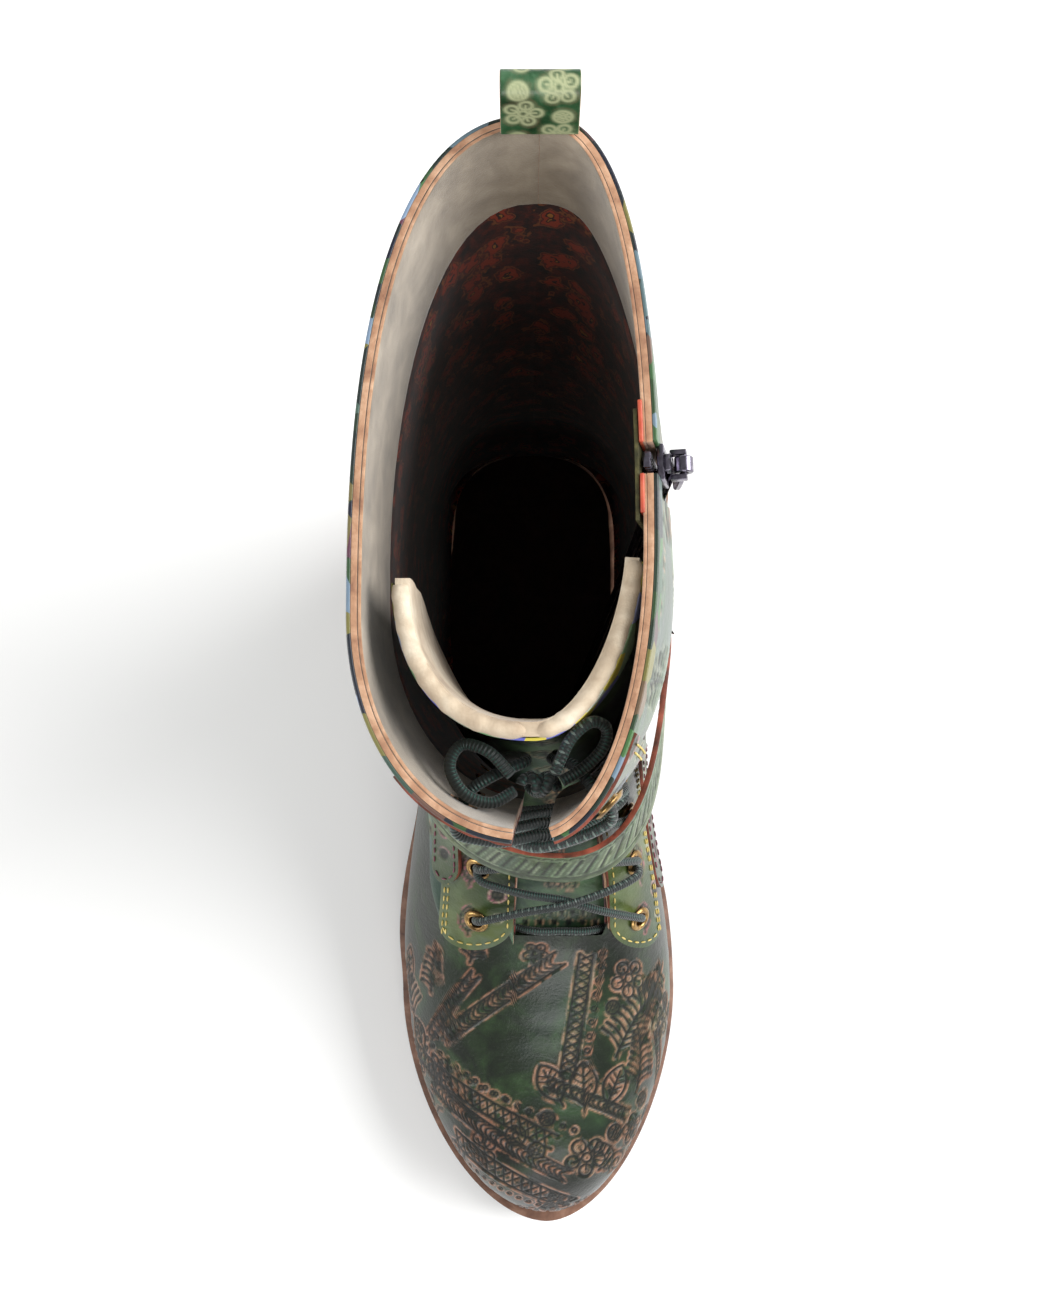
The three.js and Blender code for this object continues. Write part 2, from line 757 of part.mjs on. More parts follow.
// Strap over the instep and round the back, from one side of the zip to the other.
const strapSteps = 34;
const strapOverLace = 6;
const strapAtEnds = 0.6;
const strapZipMargin = 7;
const strapFrontSqueeze = 0.22;
const strapBackDrop = 6;
const strapLowestStation = footStationCount - 3;
function stationOnStrap(v, rise) {
  return turningPlace(strapLowestStation, topStation, (u) => {
    const point = facePoint(u, v);
    return point.z > strapUp + rise - strapBackDrop * (1 + point.y / collarFront);
  });
}
const strapEnd = (forward) =>
  turningPlace(0, 1, (v) => -facePoint(stationOnStrap(v, 0), v).y <= forward);
const strapFrom = strapEnd(zipAt + strapZipMargin);
const wholeTurn = 2;
const strapTo = strapEnd(zipAt - strapZipMargin) - wholeTurn;
const strapFront = { upTo: 0.15, over: 0.3 };
const frontness = (v) => 1 - ease((Math.abs(v) - strapFront.upTo) / strapFront.over);
const pastBack = (v) => (v < -1 ? v + wholeTurn : v);
const strapV = lengthsBetween(strapFrom, strapTo, strapSteps).map(pastBack);
const strapRows = strapV.map((v) => {
  const half = (strapWidth / 2) * (1 - strapFrontSqueeze * frontness(v));
  return [-half, 0, half].map((rise) => [stationOnStrap(v, rise), v]);
});
const strapFade = { from: 0.46, over: 0.3 };
const strapRest = (v) => {
  const back = ease((Math.abs(v) - strapFade.from) / strapFade.over);
  return mix(strapOverLace, strapAtEnds, back);
};
const strapLow = (share) => strapRest(pastBack(mix(strapFrom, strapTo, share)));
addSolid(
  "strap",
  slabOf(strapRows, strapLow, (share) => strapLow(share) + strapThickness),
  paint.greyGreenLeather,
);

// Side tabs: narrow leather tongues that run forward from under the strap, with a rounded end.
const tabs = [
  { name: "tab_lateral", side: -1, from: 24, middle: 38, low: eyestayHigh + seatGap },
  { name: "tab_medial", side: 1, from: 20, middle: 49, low: seatGap },
];
const tabTip = 0.15;
const tabRoundSteps = 4;
const tabSteps = 6;
const tabColumns = 4;
for (const { name, side, from, middle, low } of tabs) {
  const round = tabWidth / 2;
  const turns = lengthsBetween(0, Math.PI / 2, tabRoundSteps);
  const lengths = [
    ...turns.map((turn) => from + round * (1 - Math.cos(turn))),
    ...lengthsBetween(from + round, from + tabLength, tabSteps).slice(1),
  ];
  const half = (length) => {
    const left = limit((from + round - length) / round);
    return round * Math.max(tabTip, Math.sqrt(1 - left * left));
  };
  const rows = crestRows(
    lengths,
    tabColumns,
    (length) => side * (middle - half(length)),
    (length) => side * (middle + half(length)),
  );
  addSolid(name, slabOf(rows, low, low + tabThickness), paint.greyGreenLeather);
}

// Eyelets: turned brass rings through the facings.
const eyeletSegments = 8;
const eyeletThrough = 0.2;
const eyeletPlay = 0.55;
const eyeletLow = -(wall + eyeletThrough);
const eyeletSeat = eyestayHigh + eyeletPlay;
const eyeletTop = eyeletSeat + eyeletFlangeHeight;
const eyeletProfile = [
  [eyeletBore, eyeletLow],
  [eyeletBarrel, eyeletLow],
  [eyeletBarrel, eyeletSeat],
  [eyeletFlange, eyeletSeat],
  [eyeletBore, eyeletTop],
  [eyeletBore, eyeletLow],
].map(([radius, up]) => new THREE.Vector2(radius, up));
function onNormal(geometry, u, v) {
  const up = new THREE.Vector3(0, 1, 0);
  geometry.applyQuaternion(new THREE.Quaternion().setFromUnitVectors(up, faceNormal(u, v)));
  const place = facePoint(u, v);
  return geometry.translate(place.x, place.y, place.z);
}
for (const { pair, side, place } of eyelets) {
  const ring = new THREE.LatheGeometry(eyeletProfile, eyeletSegments);
  const name = `eyelet_${side < 0 ? "lateral" : "medial"}_${pair + 1}`;
  addSolid(name, solidOf(onNormal(ring, ...place)), paint.brass);
}

// Lace: a bar at the foot of the throat, then a crossing between each pair of eyelets.
const cordSides = 8;
const crossingSides = 6;
const laceRadius = laceDiameter / 2;
const lacePlay = 0.35;
const laceRest = eyeletTop + lacePlay + laceRadius;
const laceStart = laceRadius + lacePlay;
function cordOf(points, steps, sides = cordSides) {
  const round = new THREE.Shape(
    range(sides).map((i) => {
      const turn = (2 * Math.PI * i) / sides;
      return new THREE.Vector2(laceRadius * Math.cos(turn), laceRadius * Math.sin(turn));
    }),
  );
  const path = new THREE.CatmullRomCurve3(points, false, "centripetal");
  return new THREE.ExtrudeGeometry(round, { steps, extrudePath: path, curveSegments: 1 });
}
const onFacing = (length, distance, rest) => {
  const u = stationAt(length);
  return facing(u, vAt(u, distance), rest);
};
const barInset = 0.6;
const barDepth = -1;
const barAt = 2.2;
const barHalf = gapHalf(barAt) - barInset;
const barPlaces = [-1, -0.5, 0, 0.5, 1];
const barSteps = 6;
const barPath = barPlaces.map((share) => onFacing(barAt, share * barHalf, barDepth));
addSolid("lace_bar", solidOf(cordOf(barPath, barSteps)), paint.tealCord);
const laceOverFacing = 5;
const crossingSteps = 8;
for (const pair of range(eyeletPairs - 1)) {
  const from = firstEyelet + pair * eyeletPitch + laceStart;
  const to = firstEyelet + (pair + 1) * eyeletPitch - laceStart;
  const strands = [-1, 1].map((side) => {
    const start = -side * (gapHalf(from) + eyeletSetback);
    const end = side * (gapHalf(to) + eyeletSetback);
    const at = (distance) => {
      const q = (distance - start) / (end - start);
      return onFacing(mix(from, to, q), distance, laceRest);
    };
    const edge = gapHalf((from + to) / 2);
    const stops = [start, -side * (edge + laceOverFacing), -side * edge];
    const others = [side * edge, side * (edge + laceOverFacing), end];
    return solidOf(cordOf([...stops, ...others].map(at), crossingSteps, crossingSides));
  });
  addSolid(`lace_crossing_${pair + 1}`, strands[0].add(strands[1]), paint.tealCord);
}

// Zip: tape behind the slot, the teeth in it, and the slider at the collar with its pull tab.
const tapePlay = 0.75;
const tapeHigh = -(wall + tapePlay);
const tapeBelowTeeth = 4;
const teethPlay = 0.6;
const teethLow = tapeHigh + teethPlay;
addSolid(
  "zip_tape",
  slabOf(zipRows(zipBottom - tapeBelowTeeth, zipTapeWidth), tapeHigh - zipTapeThickness, tapeHigh),
  paint.darkTape,
);
addSolid(
  "zip_teeth",
  slabOf(zipRows(zipBottom, zipTeethWidth), teethLow, teethLow + zipTeethThickness),
  paint.gunmetal,
);
const sliderSize = { wide: 7.6, tall: 10, deep: 2.8 };
const sliderBelowCollar = 9;
const sliderPost = { wide: 1.2, tall: 2.6, sunk: 0.5 };
const pinRadius = 0.7;
const pullBore = 1.0;
const pullBarrel = 2.0;
const pullHeadWidth = 3.4;
const pullWidth = 5;
const pullLength = 17;
const pullThickness = 1.2;
const pullHeadSunk = 0.4;
const pullShoulder = 2.6;
const boreSpare = 2;
const pullRoundSteps = 6;
const sliderStation = zipStationAt(shaftHeight + collarRise / 2 - sliderBelowCollar);
const sliderV = medialAt(sliderStation, zipAt);
const sliderPlace = facePoint(sliderStation, sliderV);
const sliderOut = faceNormal(sliderStation, sliderV);
const hingeAxis = new THREE.Vector3(0, 0, 1).cross(sliderOut).normalize();
const sliderUp = sliderOut.clone().cross(hingeAxis);
const sliderFrame = new THREE.Matrix4()
  .makeBasis(hingeAxis, sliderUp, sliderOut)
  .setPosition(sliderPlace);
const boxAt = (wide, tall, deep, x, y, z) =>
  solidOf(new THREE.BoxGeometry(wide, tall, deep).translate(x, y, z).applyMatrix4(sliderFrame));
const sliderFloor = seatGap;
const sliderTop = sliderFloor + sliderSize.deep;
const pinOut = sliderTop + pullBarrel + seatGap;
const postAside = pullHeadWidth / 2 + seatGap + sliderPost.wide / 2;
const pinTurn = new THREE.Matrix4().makeRotationZ(Math.PI / 2);
const pinLength = 2 * postAside;
const barrelSegments = 12;
const turned = (radius, length) =>
  new THREE.CylinderGeometry(radius, radius, length, barrelSegments).applyMatrix4(pinTurn);
const pin = solidOf(turned(pinRadius, pinLength).translate(0, 0, pinOut).applyMatrix4(sliderFrame));
const posts = [-1, 1].map((side) =>
  boxAt(
    sliderPost.wide,
    sliderPost.tall,
    pinOut + pinRadius - sliderTop + sliderPost.sunk,
    side * postAside,
    0,
    (sliderTop - sliderPost.sunk + pinOut + pinRadius) / 2,
  ),
);
addSolid(
  "zip_slider",
  boxAt(sliderSize.wide, sliderSize.tall, sliderSize.deep, 0, 0, sliderFloor + sliderSize.deep / 2)
    .add(posts[0])
    .add(posts[1])
    .add(pin),
  paint.gunmetal,
);
// The pull hangs straight down from the slider's pin.
const pullFrame = new THREE.Matrix4().makeBasis(
  hingeAxis,
  new THREE.Vector3(0, 0, 1),
  hingeAxis.clone().cross(new THREE.Vector3(0, 0, 1)),
);
const hingePlace = new THREE.Vector3(0, 0, pinOut).applyMatrix4(sliderFrame);
pullFrame.setPosition(hingePlace);
const pullLeaf = new THREE.Shape();
pullLeaf.moveTo(-pullHeadWidth / 2, -pullBarrel + pullHeadSunk);
pullLeaf.lineTo(-pullWidth / 2, -pullBarrel - pullShoulder);
pullLeaf.lineTo(-pullWidth / 2, -pullLength + pullWidth / 2);
pullLeaf.absarc(0, -pullLength + pullWidth / 2, pullWidth / 2, Math.PI, 2 * Math.PI, false);
pullLeaf.lineTo(pullWidth / 2, -pullBarrel - pullShoulder);
pullLeaf.lineTo(pullHeadWidth / 2, -pullBarrel + pullHeadSunk);
pullLeaf.closePath();
const leaf = new THREE.ExtrudeGeometry(pullLeaf, {
  depth: pullThickness,
  bevelEnabled: false,
  curveSegments: pullRoundSteps,
}).translate(0, 0, -pullThickness / 2);
const head = turned(pullBarrel, pullHeadWidth);
const bore = turned(pullBore, pullHeadWidth + boreSpare);
addSolid(
  "zip_pull",
  solidOf(head.applyMatrix4(pullFrame))
    .add(solidOf(leaf.applyMatrix4(pullFrame)))
    .subtract(solidOf(bore.applyMatrix4(pullFrame))),
  paint.gunmetal,
);

// Pull loop: a folded band over the back of the collar.
const loopLegs = { outside: 22, aboveRim: 0.4 };
const loopSteps = 6;
const loopPlay = 0.5;
const loopInner = wall / 2 + loopPlay;
const loopOuter = loopInner + loopThickness;
const loopShape = new THREE.Shape();
loopShape.moveTo(loopOuter, -loopLegs.outside);
loopShape.lineTo(loopOuter, loopRise - loopOuter);
loopShape.absarc(0, loopRise - loopOuter, loopOuter, 0, Math.PI, false);
loopShape.lineTo(-loopOuter, loopLegs.aboveRim);
loopShape.lineTo(-loopInner, loopLegs.aboveRim);
loopShape.lineTo(-loopInner, loopRise - loopOuter);
loopShape.absarc(0, loopRise - loopOuter, loopInner, Math.PI, 0, true);
loopShape.lineTo(loopInner, -loopLegs.outside);
loopShape.closePath();
const loopBand = new THREE.ExtrudeGeometry(loopShape, {
  depth: loopWidth,
  bevelEnabled: false,
  curveSegments: loopSteps,
}).translate(0, 0, -loopWidth / 2);
const collarBack = facePoint(topStation, 1);
const loopSlopeOver = 0.6;
const belowBack = facePoint(topStation - loopSlopeOver, 1);
const backUp = collarBack.clone().sub(belowBack).normalize();
const across = new THREE.Vector3(1, 0, 0);
const backOut = backUp.clone().cross(across);
const loopFrame = new THREE.Matrix4()
  .makeBasis(backOut, backUp, across)
  .setPosition(collarBack.clone().addScaledVector(backOut, -wall / 2));
addSolid("pull_loop", solidOf(loopBand.applyMatrix4(loopFrame)), paint.greenLeather);

// The frame's origin is on the floor under the middle of the box of all but the loose lace.
const middle = new THREE.Box3().setFromObject(root).getCenter(new THREE.Vector3());
root.position.set(-middle.x, -middle.y, 0);

// Loose lace behind the facings: a tail from each top eyelet, the knot and the bow's two loops.
// Points are [medial, forward, up].
const looseLace = {
  lace_tail_lateral: [
    [-15.9, 123.6, 236.35],
    [-14, 120.6, 236.5],
    [-9, 117.5, 236.6],
    [-3, 114.8, 234],
    [-4, 113.5, 224],
    [-7, 113, 210],
    [-8, 112.5, 192],
  ],
  lace_tail_medial: [
    [11.7, 121, 236.4],
    [9.6, 118.2, 236],
    [7, 115.4, 233.5],
    [3.4, 114.4, 229],
    [3.2, 113.6, 220],
    [5, 112.6, 208],
    [4.5, 112, 196],
  ],
  lace_loop_lateral: [
    [-5.2, 121, 236],
    [-10, 123.4, 238],
    [-15.5, 121.5, 240],
    [-18.5, 116, 240],
    [-16, 111.5, 239],
    [-10.5, 113, 240.5],
    [-5.8, 117.8, 239.6],
  ],
  lace_loop_medial: [
    [4.6, 119, 238.4],
    [9, 116.4, 238.6],
    [13, 112.4, 239.6],
    [13.8, 108.2, 241],
    [10.6, 107, 242.8],
    [6.6, 110.2, 243.6],
    [4.2, 114.8, 243.4],
    [3.2, 117.4, 242.2],
  ],
};
const looseSteps = 14;
for (const [name, points] of Object.entries(looseLace)) {
  const path = points.map(([medial, forward, up]) => new THREE.Vector3(medial, -forward, up));
  addSolid(name, solidOf(cordOf(path, looseSteps)), paint.tealCord);
}
const knot = { place: [0, 119.6, 236], wide: 9.6, deep: 6, tall: 7, sides: 10, rings: 6 };
const knotBall = new THREE.SphereGeometry(1 / 2, knot.sides, knot.rings)
  .scale(knot.wide, knot.deep, knot.tall)
  .translate(knot.place[0], -knot.place[1], knot.place[2]);
addSolid("lace_knot", solidOf(knotBall), paint.tealCord);

export default root;
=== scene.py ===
import math
import bmesh
import bpy
import numpy as np
from mathutils import Matrix, Vector


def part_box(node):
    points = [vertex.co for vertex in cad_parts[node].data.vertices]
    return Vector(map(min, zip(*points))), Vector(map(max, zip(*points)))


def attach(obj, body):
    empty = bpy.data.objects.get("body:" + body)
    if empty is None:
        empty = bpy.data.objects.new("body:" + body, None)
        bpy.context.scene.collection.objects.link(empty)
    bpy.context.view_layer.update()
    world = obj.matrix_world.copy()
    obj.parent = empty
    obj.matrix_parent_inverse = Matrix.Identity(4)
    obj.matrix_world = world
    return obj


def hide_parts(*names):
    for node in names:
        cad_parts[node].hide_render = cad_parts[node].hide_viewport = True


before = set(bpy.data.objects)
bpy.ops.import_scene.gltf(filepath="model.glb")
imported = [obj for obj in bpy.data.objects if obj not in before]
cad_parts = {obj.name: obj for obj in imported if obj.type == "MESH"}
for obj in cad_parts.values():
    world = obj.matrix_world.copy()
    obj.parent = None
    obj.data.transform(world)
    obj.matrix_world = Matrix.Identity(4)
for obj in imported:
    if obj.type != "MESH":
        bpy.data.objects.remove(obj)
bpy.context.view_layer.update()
mm = 0.001

# The boot's own sizes in millimetres. x counts to the medial side, forward from the heel's back.
boot = {
    "soleLength": 266, "soleWidth": 97.5, "heelHeight": 40, "heelLength": 60, "heelSlope": 2.5,
    "toeSpring": 7.5, "outsole": 5, "welt": 3, "weltMargin": 4.6, "insole": 2.4, "seatGap": 0.3,
    "feltGap": 0.7, "instepHeight": 77, "ankleWidth": 66, "shaftHeight": 250,
    "collarLength": 147, "collarWidth": 61, "collarRise": 6, "wall": 2.2,
    "throatAt": 166, "gapAtThroat": 30, "gapAtCollar": 8, "eyestayWidth": 27,
    "eyeletPairs": 9, "eyeletPitch": 21, "firstEyelet": 9, "eyeletSetback": 12,
    "zipAt": 54, "strapUp": 104, "strapWidth": 18,
}
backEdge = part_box("welt")[1].y / mm
middleLine = (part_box("pull_loop")[0].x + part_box("pull_loop")[1].x) / 2 / mm
originShift = np.array([middleLine, backEdge, 0.0])


def toFrame(points):
    return (np.asarray(points, float) + originShift) * mm


def ease(t):
    t = np.clip(t, 0, 1)
    return t * t * (3 - 2 * t)


def mix(a, b, t):
    return a + (b - a) * t


# Smooth curve through a table's rows.
def tableAt(rows, place):
    last = len(rows) - 1
    at = np.clip(place, 0, last)
    i = np.minimum(last - 1, np.floor(at)).astype(int)
    t = at - i
    if rows.ndim > 1:
        t = t[..., None]
    a, b, c, d = [rows[np.clip(i + k, 0, last)] for k in (-1, 0, 1, 2)]
    return 0.5 * (2 * b + (c - a) * t + (2 * a - 5 * b + 4 * c - d) * t**2 + (3 * (b - c) + d - a) * t**3)


# Sole outline: forward, lateral and medial reach as shares of the sole's length and width.
soleRows = np.array([
    [0.06, 0.3, 0.3], [0.11, 0.326, 0.326], [0.19, 0.345, 0.332], [0.28, 0.352, 0.325],
    [0.38, 0.372, 0.345], [0.475, 0.413, 0.41], [0.565, 0.464, 0.48], [0.63, 0.48, 0.508],
    [0.703, 0.466, 0.517],
])
outline = {"toeTip": 0.054, "toeRoundness": 1.82, "heelRoundness": 2.3}


def rounded(t, power):
    return np.maximum(0, 1 - np.clip(t, 0, 1) ** power) ** (1 / power)


def soleEdge(forward, side, margin):
    forward = np.asarray(forward, float)
    column = 1 if side < 0 else 2
    length, width = boot["soleLength"], boot["soleWidth"]
    share = forward / length
    row = np.interp(share, soleRows[:, 0], np.arange(len(soleRows)))
    along = side * (tableAt(soleRows[:, column], row) * width - margin)
    toeFrom, toe = soleRows[-1, 0] * length, length - margin
    tip = outline["toeTip"] * width
    toeReach = soleRows[-1, column] * width - margin - side * tip
    over = (forward - toeFrom) / (toe - toeFrom)
    atToe = side * (side * tip + toeReach * rounded(over, outline["toeRoundness"]))
    heelTo = soleRows[1, 0] * length
    heelReach = soleRows[1, column] * width - margin
    under = (heelTo - forward) / (heelTo - margin)
    atHeel = side * heelReach * rounded(under, outline["heelRoundness"])
    return np.where(share > soleRows[-1, 0], atToe, np.where(share < soleRows[1, 0], atHeel, along))


def underside(forward):
    forward = np.asarray(forward, float)
    length, rise, slope = boot["soleLength"], boot["heelHeight"], boot["heelSlope"]
    flatFrom, flatTo = 0.615 * length, 0.765 * length
    sprung = boot["toeSpring"] * np.clip((forward - flatTo) / (length - flatTo), 0, 1) ** 2
    arch = (rise - slope) * ease((flatFrom - forward) / (flatFrom - boot["heelLength"]))
    heel = mix(rise, rise - slope, forward / boot["heelLength"])
    return np.where(forward > flatTo, sprung, np.where(forward > boot["heelLength"], arch, heel))


def weltFloor(forward):
    return underside(forward) + boot["outsole"] + boot["seatGap"]


def seat(forward):
    return weltFloor(forward) + boot["welt"] + boot["seatGap"]


# Sections of the last: forward, crest, shift, belly, front roundness, hold on the seat.
footRows = np.array([
    [0.564, 1.0, 0.092, 0.26, 2.1, 0.97], [0.62, 0.845, 0.092, 0.26, 2.1, 0.97],
    [0.68, 0.735, 0.088, 0.27, 2.1, 0.97], [0.76, 0.625, 0.08, 0.28, 2.15, 0.97],
    [0.85, 0.535, 0.068, 0.3, 2.2, 0.98], [0.93, 0.46, 0.058, 0.32, 2.2, 0.98],
    [1.0, 0.4, 0.054, 0.34, 2.2, 0.98],
])
# Ankle and shaft: front, frontUp, back, backUp, lateral, medial, bellies, crown, heel roundness.
onSeat = np.nan
shaftRows = np.array([
    [0.532, 0.384, 0.48, onSeat, 0.595, 0.6, 0.27, 0.27, 0.13, 2.2],
    [0.502, 0.433, 0.39, onSeat, 0.545, 0.545, 0.3, 0.3, 0.12, 2.2],
    [0.48, 0.486, 0.293, onSeat, 0.515, 0.52, 0.33, 0.33, 0.105, 2.25],
    [0.468, 0.534, 0.19, onSeat, 0.5, 0.51, 0.38, 0.38, 0.09, 2.35],
    [0.462, 0.58, 0.095, onSeat, 0.495, 0.51, 0.42, 0.42, 0.075, 2.6],
    [0.4595, 0.608, 0.04, onSeat, 0.495, 0.515, 0.45, 0.45, 0.063, 2.9],
    [0.459, 0.624, 0.0195, onSeat, 0.495, 0.515, 0.46, 0.46, 0.058, 3],
    [0.4585, 0.634, 0.0132, onSeat, 0.495, 0.518, 0.47, 0.47, 0.054, 3],
    [0.458, 0.655, 0.0085, 0.245, 0.5, 0.525, 0.49, 0.49, 0.05, 2.9],
    [0.459, 0.69, 0.0, 0.325, 0.51, 0.53, 0.51, 0.51, 0.04, 2.6],
    [0.4625, 0.745, 0.01, 0.44, 0.52, 0.53, 0.54, 0.53, 0.025, 2.35],
    [0.4705, 0.82, 0.004, 0.6, 0.54, 0.51, 0.59, 0.54, 0.005, 2.25],
    [0.481, 0.91, -0.025, 0.8, 0.56, 0.46, 0.65, 0.56, -0.012, 2.35],
])
collar = {"lateral": 0.623, "medial": 0.377, "latBelly": 0.69, "medBelly": 0.58, "crown": -0.026, "heel": 2.5}
crownRoundness = 2.1
footStations = 9


def footSection(forward):
    length, width = boot["soleLength"], boot["soleWidth"]
    row = np.interp(forward / length, footRows[:, 0], np.arange(len(footRows)))
    _, crestShare, shift, belly, front, hold = tableAt(footRows, np.array(row))
    capFrom, lastToe = 0.85 * length, length - boot["weltMargin"]
    over = (forward - capFrom) / (lastToe - capFrom)
    low = float(seat(forward)) + boot["feltGap"]
    up = low + crestShare * boot["instepHeight"] * float(rounded(over, 2.3))
    lateral = float(soleEdge(forward, -1, boot["weltMargin"])) / hold
    medial = float(soleEdge(forward, 1, boot["weltMargin"])) / hold
    return [forward, up, forward, low, lateral, medial, hold, belly, belly, shift * width, front, 2.4]


def shaftSection(row):
    front, frontUp, back, backUp, lateral, medial, latBelly, medBelly, crown, heel = row
    back *= boot["soleLength"]
    ankle, tall = boot["ankleWidth"], boot["shaftHeight"]
    seated = np.isnan(backUp)
    hold = float(soleEdge(back, 1, boot["weltMargin"])) / (medial * ankle) if seated else 0
    low = float(seat(back)) + boot["feltGap"] if seated else backUp * tall
    return [
        front * boot["soleLength"], frontUp * tall, back, low, -lateral * ankle, medial * ankle,
        min(1, max(0, hold)), latBelly, medBelly, crown * ankle, crownRoundness, heel,
    ]


def allSections():
    lastToe = boot["soleLength"] - boot["weltMargin"]
    footFrom = footRows[0, 0] * boot["soleLength"]
    turns = [math.pi / 2 * (1 - i / footStations) for i in range(footStations)]
    rows = [footSection(mix(footFrom, lastToe, math.sin(turn))) for turn in turns]
    rows.append(footSection(footFrom))
    rows.extend(shaftSection(row) for row in shaftRows)
    front, wide = 0.4925 * boot["soleLength"], boot["collarWidth"]
    rows.append([
        front, boot["shaftHeight"], front - boot["collarLength"],
        boot["shaftHeight"] + boot["collarRise"], -collar["lateral"] * wide,
        collar["medial"] * wide, 0, collar["latBelly"], collar["medBelly"],
        collar["crown"] * wide, crownRoundness, collar["heel"],
    ])
    return np.array(rows)


sections = allSections()
topStation = len(sections) - 1
bellyTurn = 0.42


# Outer face of the upper. u runs from toe to collar, v round the section over the crest (0).
def facePoint(u, v):
    u, v = np.broadcast_arrays(np.asarray(u, float), np.asarray(v, float))
    row = tableAt(sections, u)
    row = np.moveaxis(row, -1, 0)
    frontForward, frontUp, backForward, backUp, lateral, medial = row[:6]
    hold, latBelly, medBelly, crown, front, back = row[6:]
    closed = hold < 0.02
    v = np.where(closed & (np.abs(v) > 1), v - 2 * np.sign(v), v)
    away = np.maximum(0, 1 - np.abs(v))
    reach = np.where(v > 0, medial, lateral)
    belly = np.where(v > 0, medBelly, latBelly)
    under = away < bellyTurn
    turn = np.where(under, 1 - away / bellyTurn, (away - bellyTurn) / (1 - bellyTurn)) * math.pi / 2
    power = 2 / np.where(under, back, front)
    cosine, sine = np.maximum(0, np.cos(turn)) ** power, np.maximum(0, np.sin(turn)) ** power
    x = np.where(under, reach * mix(np.where(closed, 0, hold), 1, cosine), mix(crown, reach, cosine))
    t = np.where(under, belly * (1 - sine), mix(belly, 1, sine))
    return np.stack([x, -mix(backForward, frontForward, t), mix(backUp, frontUp, t)], -1)


def faceNormal(u, v):
    u, v = np.broadcast_arrays(np.asarray(u, float), np.asarray(v, float))
    along = facePoint(np.minimum(topStation, u + 0.04), v) - facePoint(np.maximum(0.02, u - 0.04), v)
    closed = tableAt(sections[:, 6], u) < 0.02
    high = np.where(closed, v + 0.012, np.minimum(1, v + 0.012))
    low = np.where(closed, v - 0.012, np.maximum(-1, v - 0.012))
    cross = np.cross(facePoint(u, high) - facePoint(u, low), along)
    return cross / np.maximum(1e-9, np.linalg.norm(cross, axis=-1, keepdims=True))


def facing(u, v, offset=0.0):
    return facePoint(u, v) + faceNormal(u, v) * np.asarray(offset, float)[..., None]


# Distances over the leather: along the crest, and round each section from the crest.
latticeU = np.linspace(0.02, topStation, 470)
latticeV = np.linspace(-1, 1, 241)
latticePoints = facePoint(latticeU[:, None], latticeV[None, :])
stepsRound = np.linalg.norm(np.diff(latticePoints, axis=1), axis=2)
latticeRound = np.concatenate([np.zeros((len(latticeU), 1)), np.cumsum(stepsRound, axis=1)], axis=1)
latticeRound -= latticeRound[:, len(latticeV) // 2][:, None]
crestPoints = latticePoints[:, len(latticeV) // 2]
stepsAlong = np.linalg.norm(np.diff(crestPoints, axis=0), axis=1)
crestAt = np.concatenate([[0], np.cumsum(stepsAlong)])
throatIndex = int(np.argmax(-crestPoints[:, 1] < boot["throatAt"]))
crestAt -= crestAt[throatIndex]
crestLength = crestAt[-1]
throatStation = latticeU[throatIndex]


def stationAt(length):
    return np.interp(length, crestAt, latticeU)


def lengthAt(u):
    return np.interp(u, latticeU, crestAt)


def betweenRows(u):
    at = np.interp(u, latticeU, np.arange(len(latticeU)))
    low = np.minimum(len(latticeU) - 2, at.astype(int))
    return low, at - low


# Distance round the section of places (u, v), and v of a distance, row by row.
def roundAt(u, v):
    u, v = np.broadcast_arrays(np.asarray(u, float), np.asarray(v, float))
    low, part = betweenRows(u)
    across = (np.clip(v, -1, 1) + 1) / 2 * (len(latticeV) - 1)
    left = np.minimum(len(latticeV) - 2, across.astype(int))
    t = across - left
    near = mix(latticeRound[low, left], latticeRound[low, left + 1], t)
    far = mix(latticeRound[low + 1, left], latticeRound[low + 1, left + 1], t)
    return mix(near, far, part)


def vAt(u, distance):
    low, part = betweenRows(u)
    made = np.empty_like(distance, dtype=float)
    for i in range(len(u)):
        row = mix(latticeRound[low[i]], latticeRound[low[i] + 1], part[i])
        made[i] = np.interp(distance[i], row, latticeV)
    return made


# The same for a grid of stations: v at each distance, found by halving.
def vAtEach(u, distance):
    near, far = np.full(u.shape, -1.0), np.ones(u.shape)
    for _ in range(22):
        half = (near + far) / 2
        past = roundAt(u, half) > distance
        near, far = np.where(past, near, half), np.where(past, half, far)
    return (near + far) / 2


def gapHalf(length):
    return mix(boot["gapAtThroat"], boot["gapAtCollar"], ease(length / (0.8 * crestLength))) / 2


openU = np.linspace(stationAt(-12), topStation, 120)
openV = {side: vAt(openU, side * gapHalf(lengthAt(openU))) for side in (-1, 1)}


def throatEdge(u, side):
    return np.interp(u, openU, openV[side])


# v on the medial side where a station passes the zip's forward place.
def medialAt(u, forward):
    near, far = np.zeros_like(u), np.ones_like(u)
    for _ in range(24):
        half = (near + far) / 2
        past = -facePoint(u, half)[..., 1] <= forward
        near, far = np.where(past, near, half), np.where(past, half, far)
    return (near + far) / 2


zipU = np.linspace(footStations, topStation, 240)
zipV = medialAt(zipU, boot["zipAt"])
zipUp = facePoint(zipU, zipV)[:, 2]
zipPace = np.linalg.norm(facePoint(zipU, zipV + 0.012) - facePoint(zipU, zipV - 0.012), axis=1) / 0.024


def zipLine(u, aside=0.0):
    return np.interp(u, zipU, zipV) + aside / np.interp(u, zipU, zipPace)


def zipStation(up):
    return np.interp(up, zipUp, zipU)


print("boot form: crest", round(float(crestLength), 1), "mm from throat to collar")

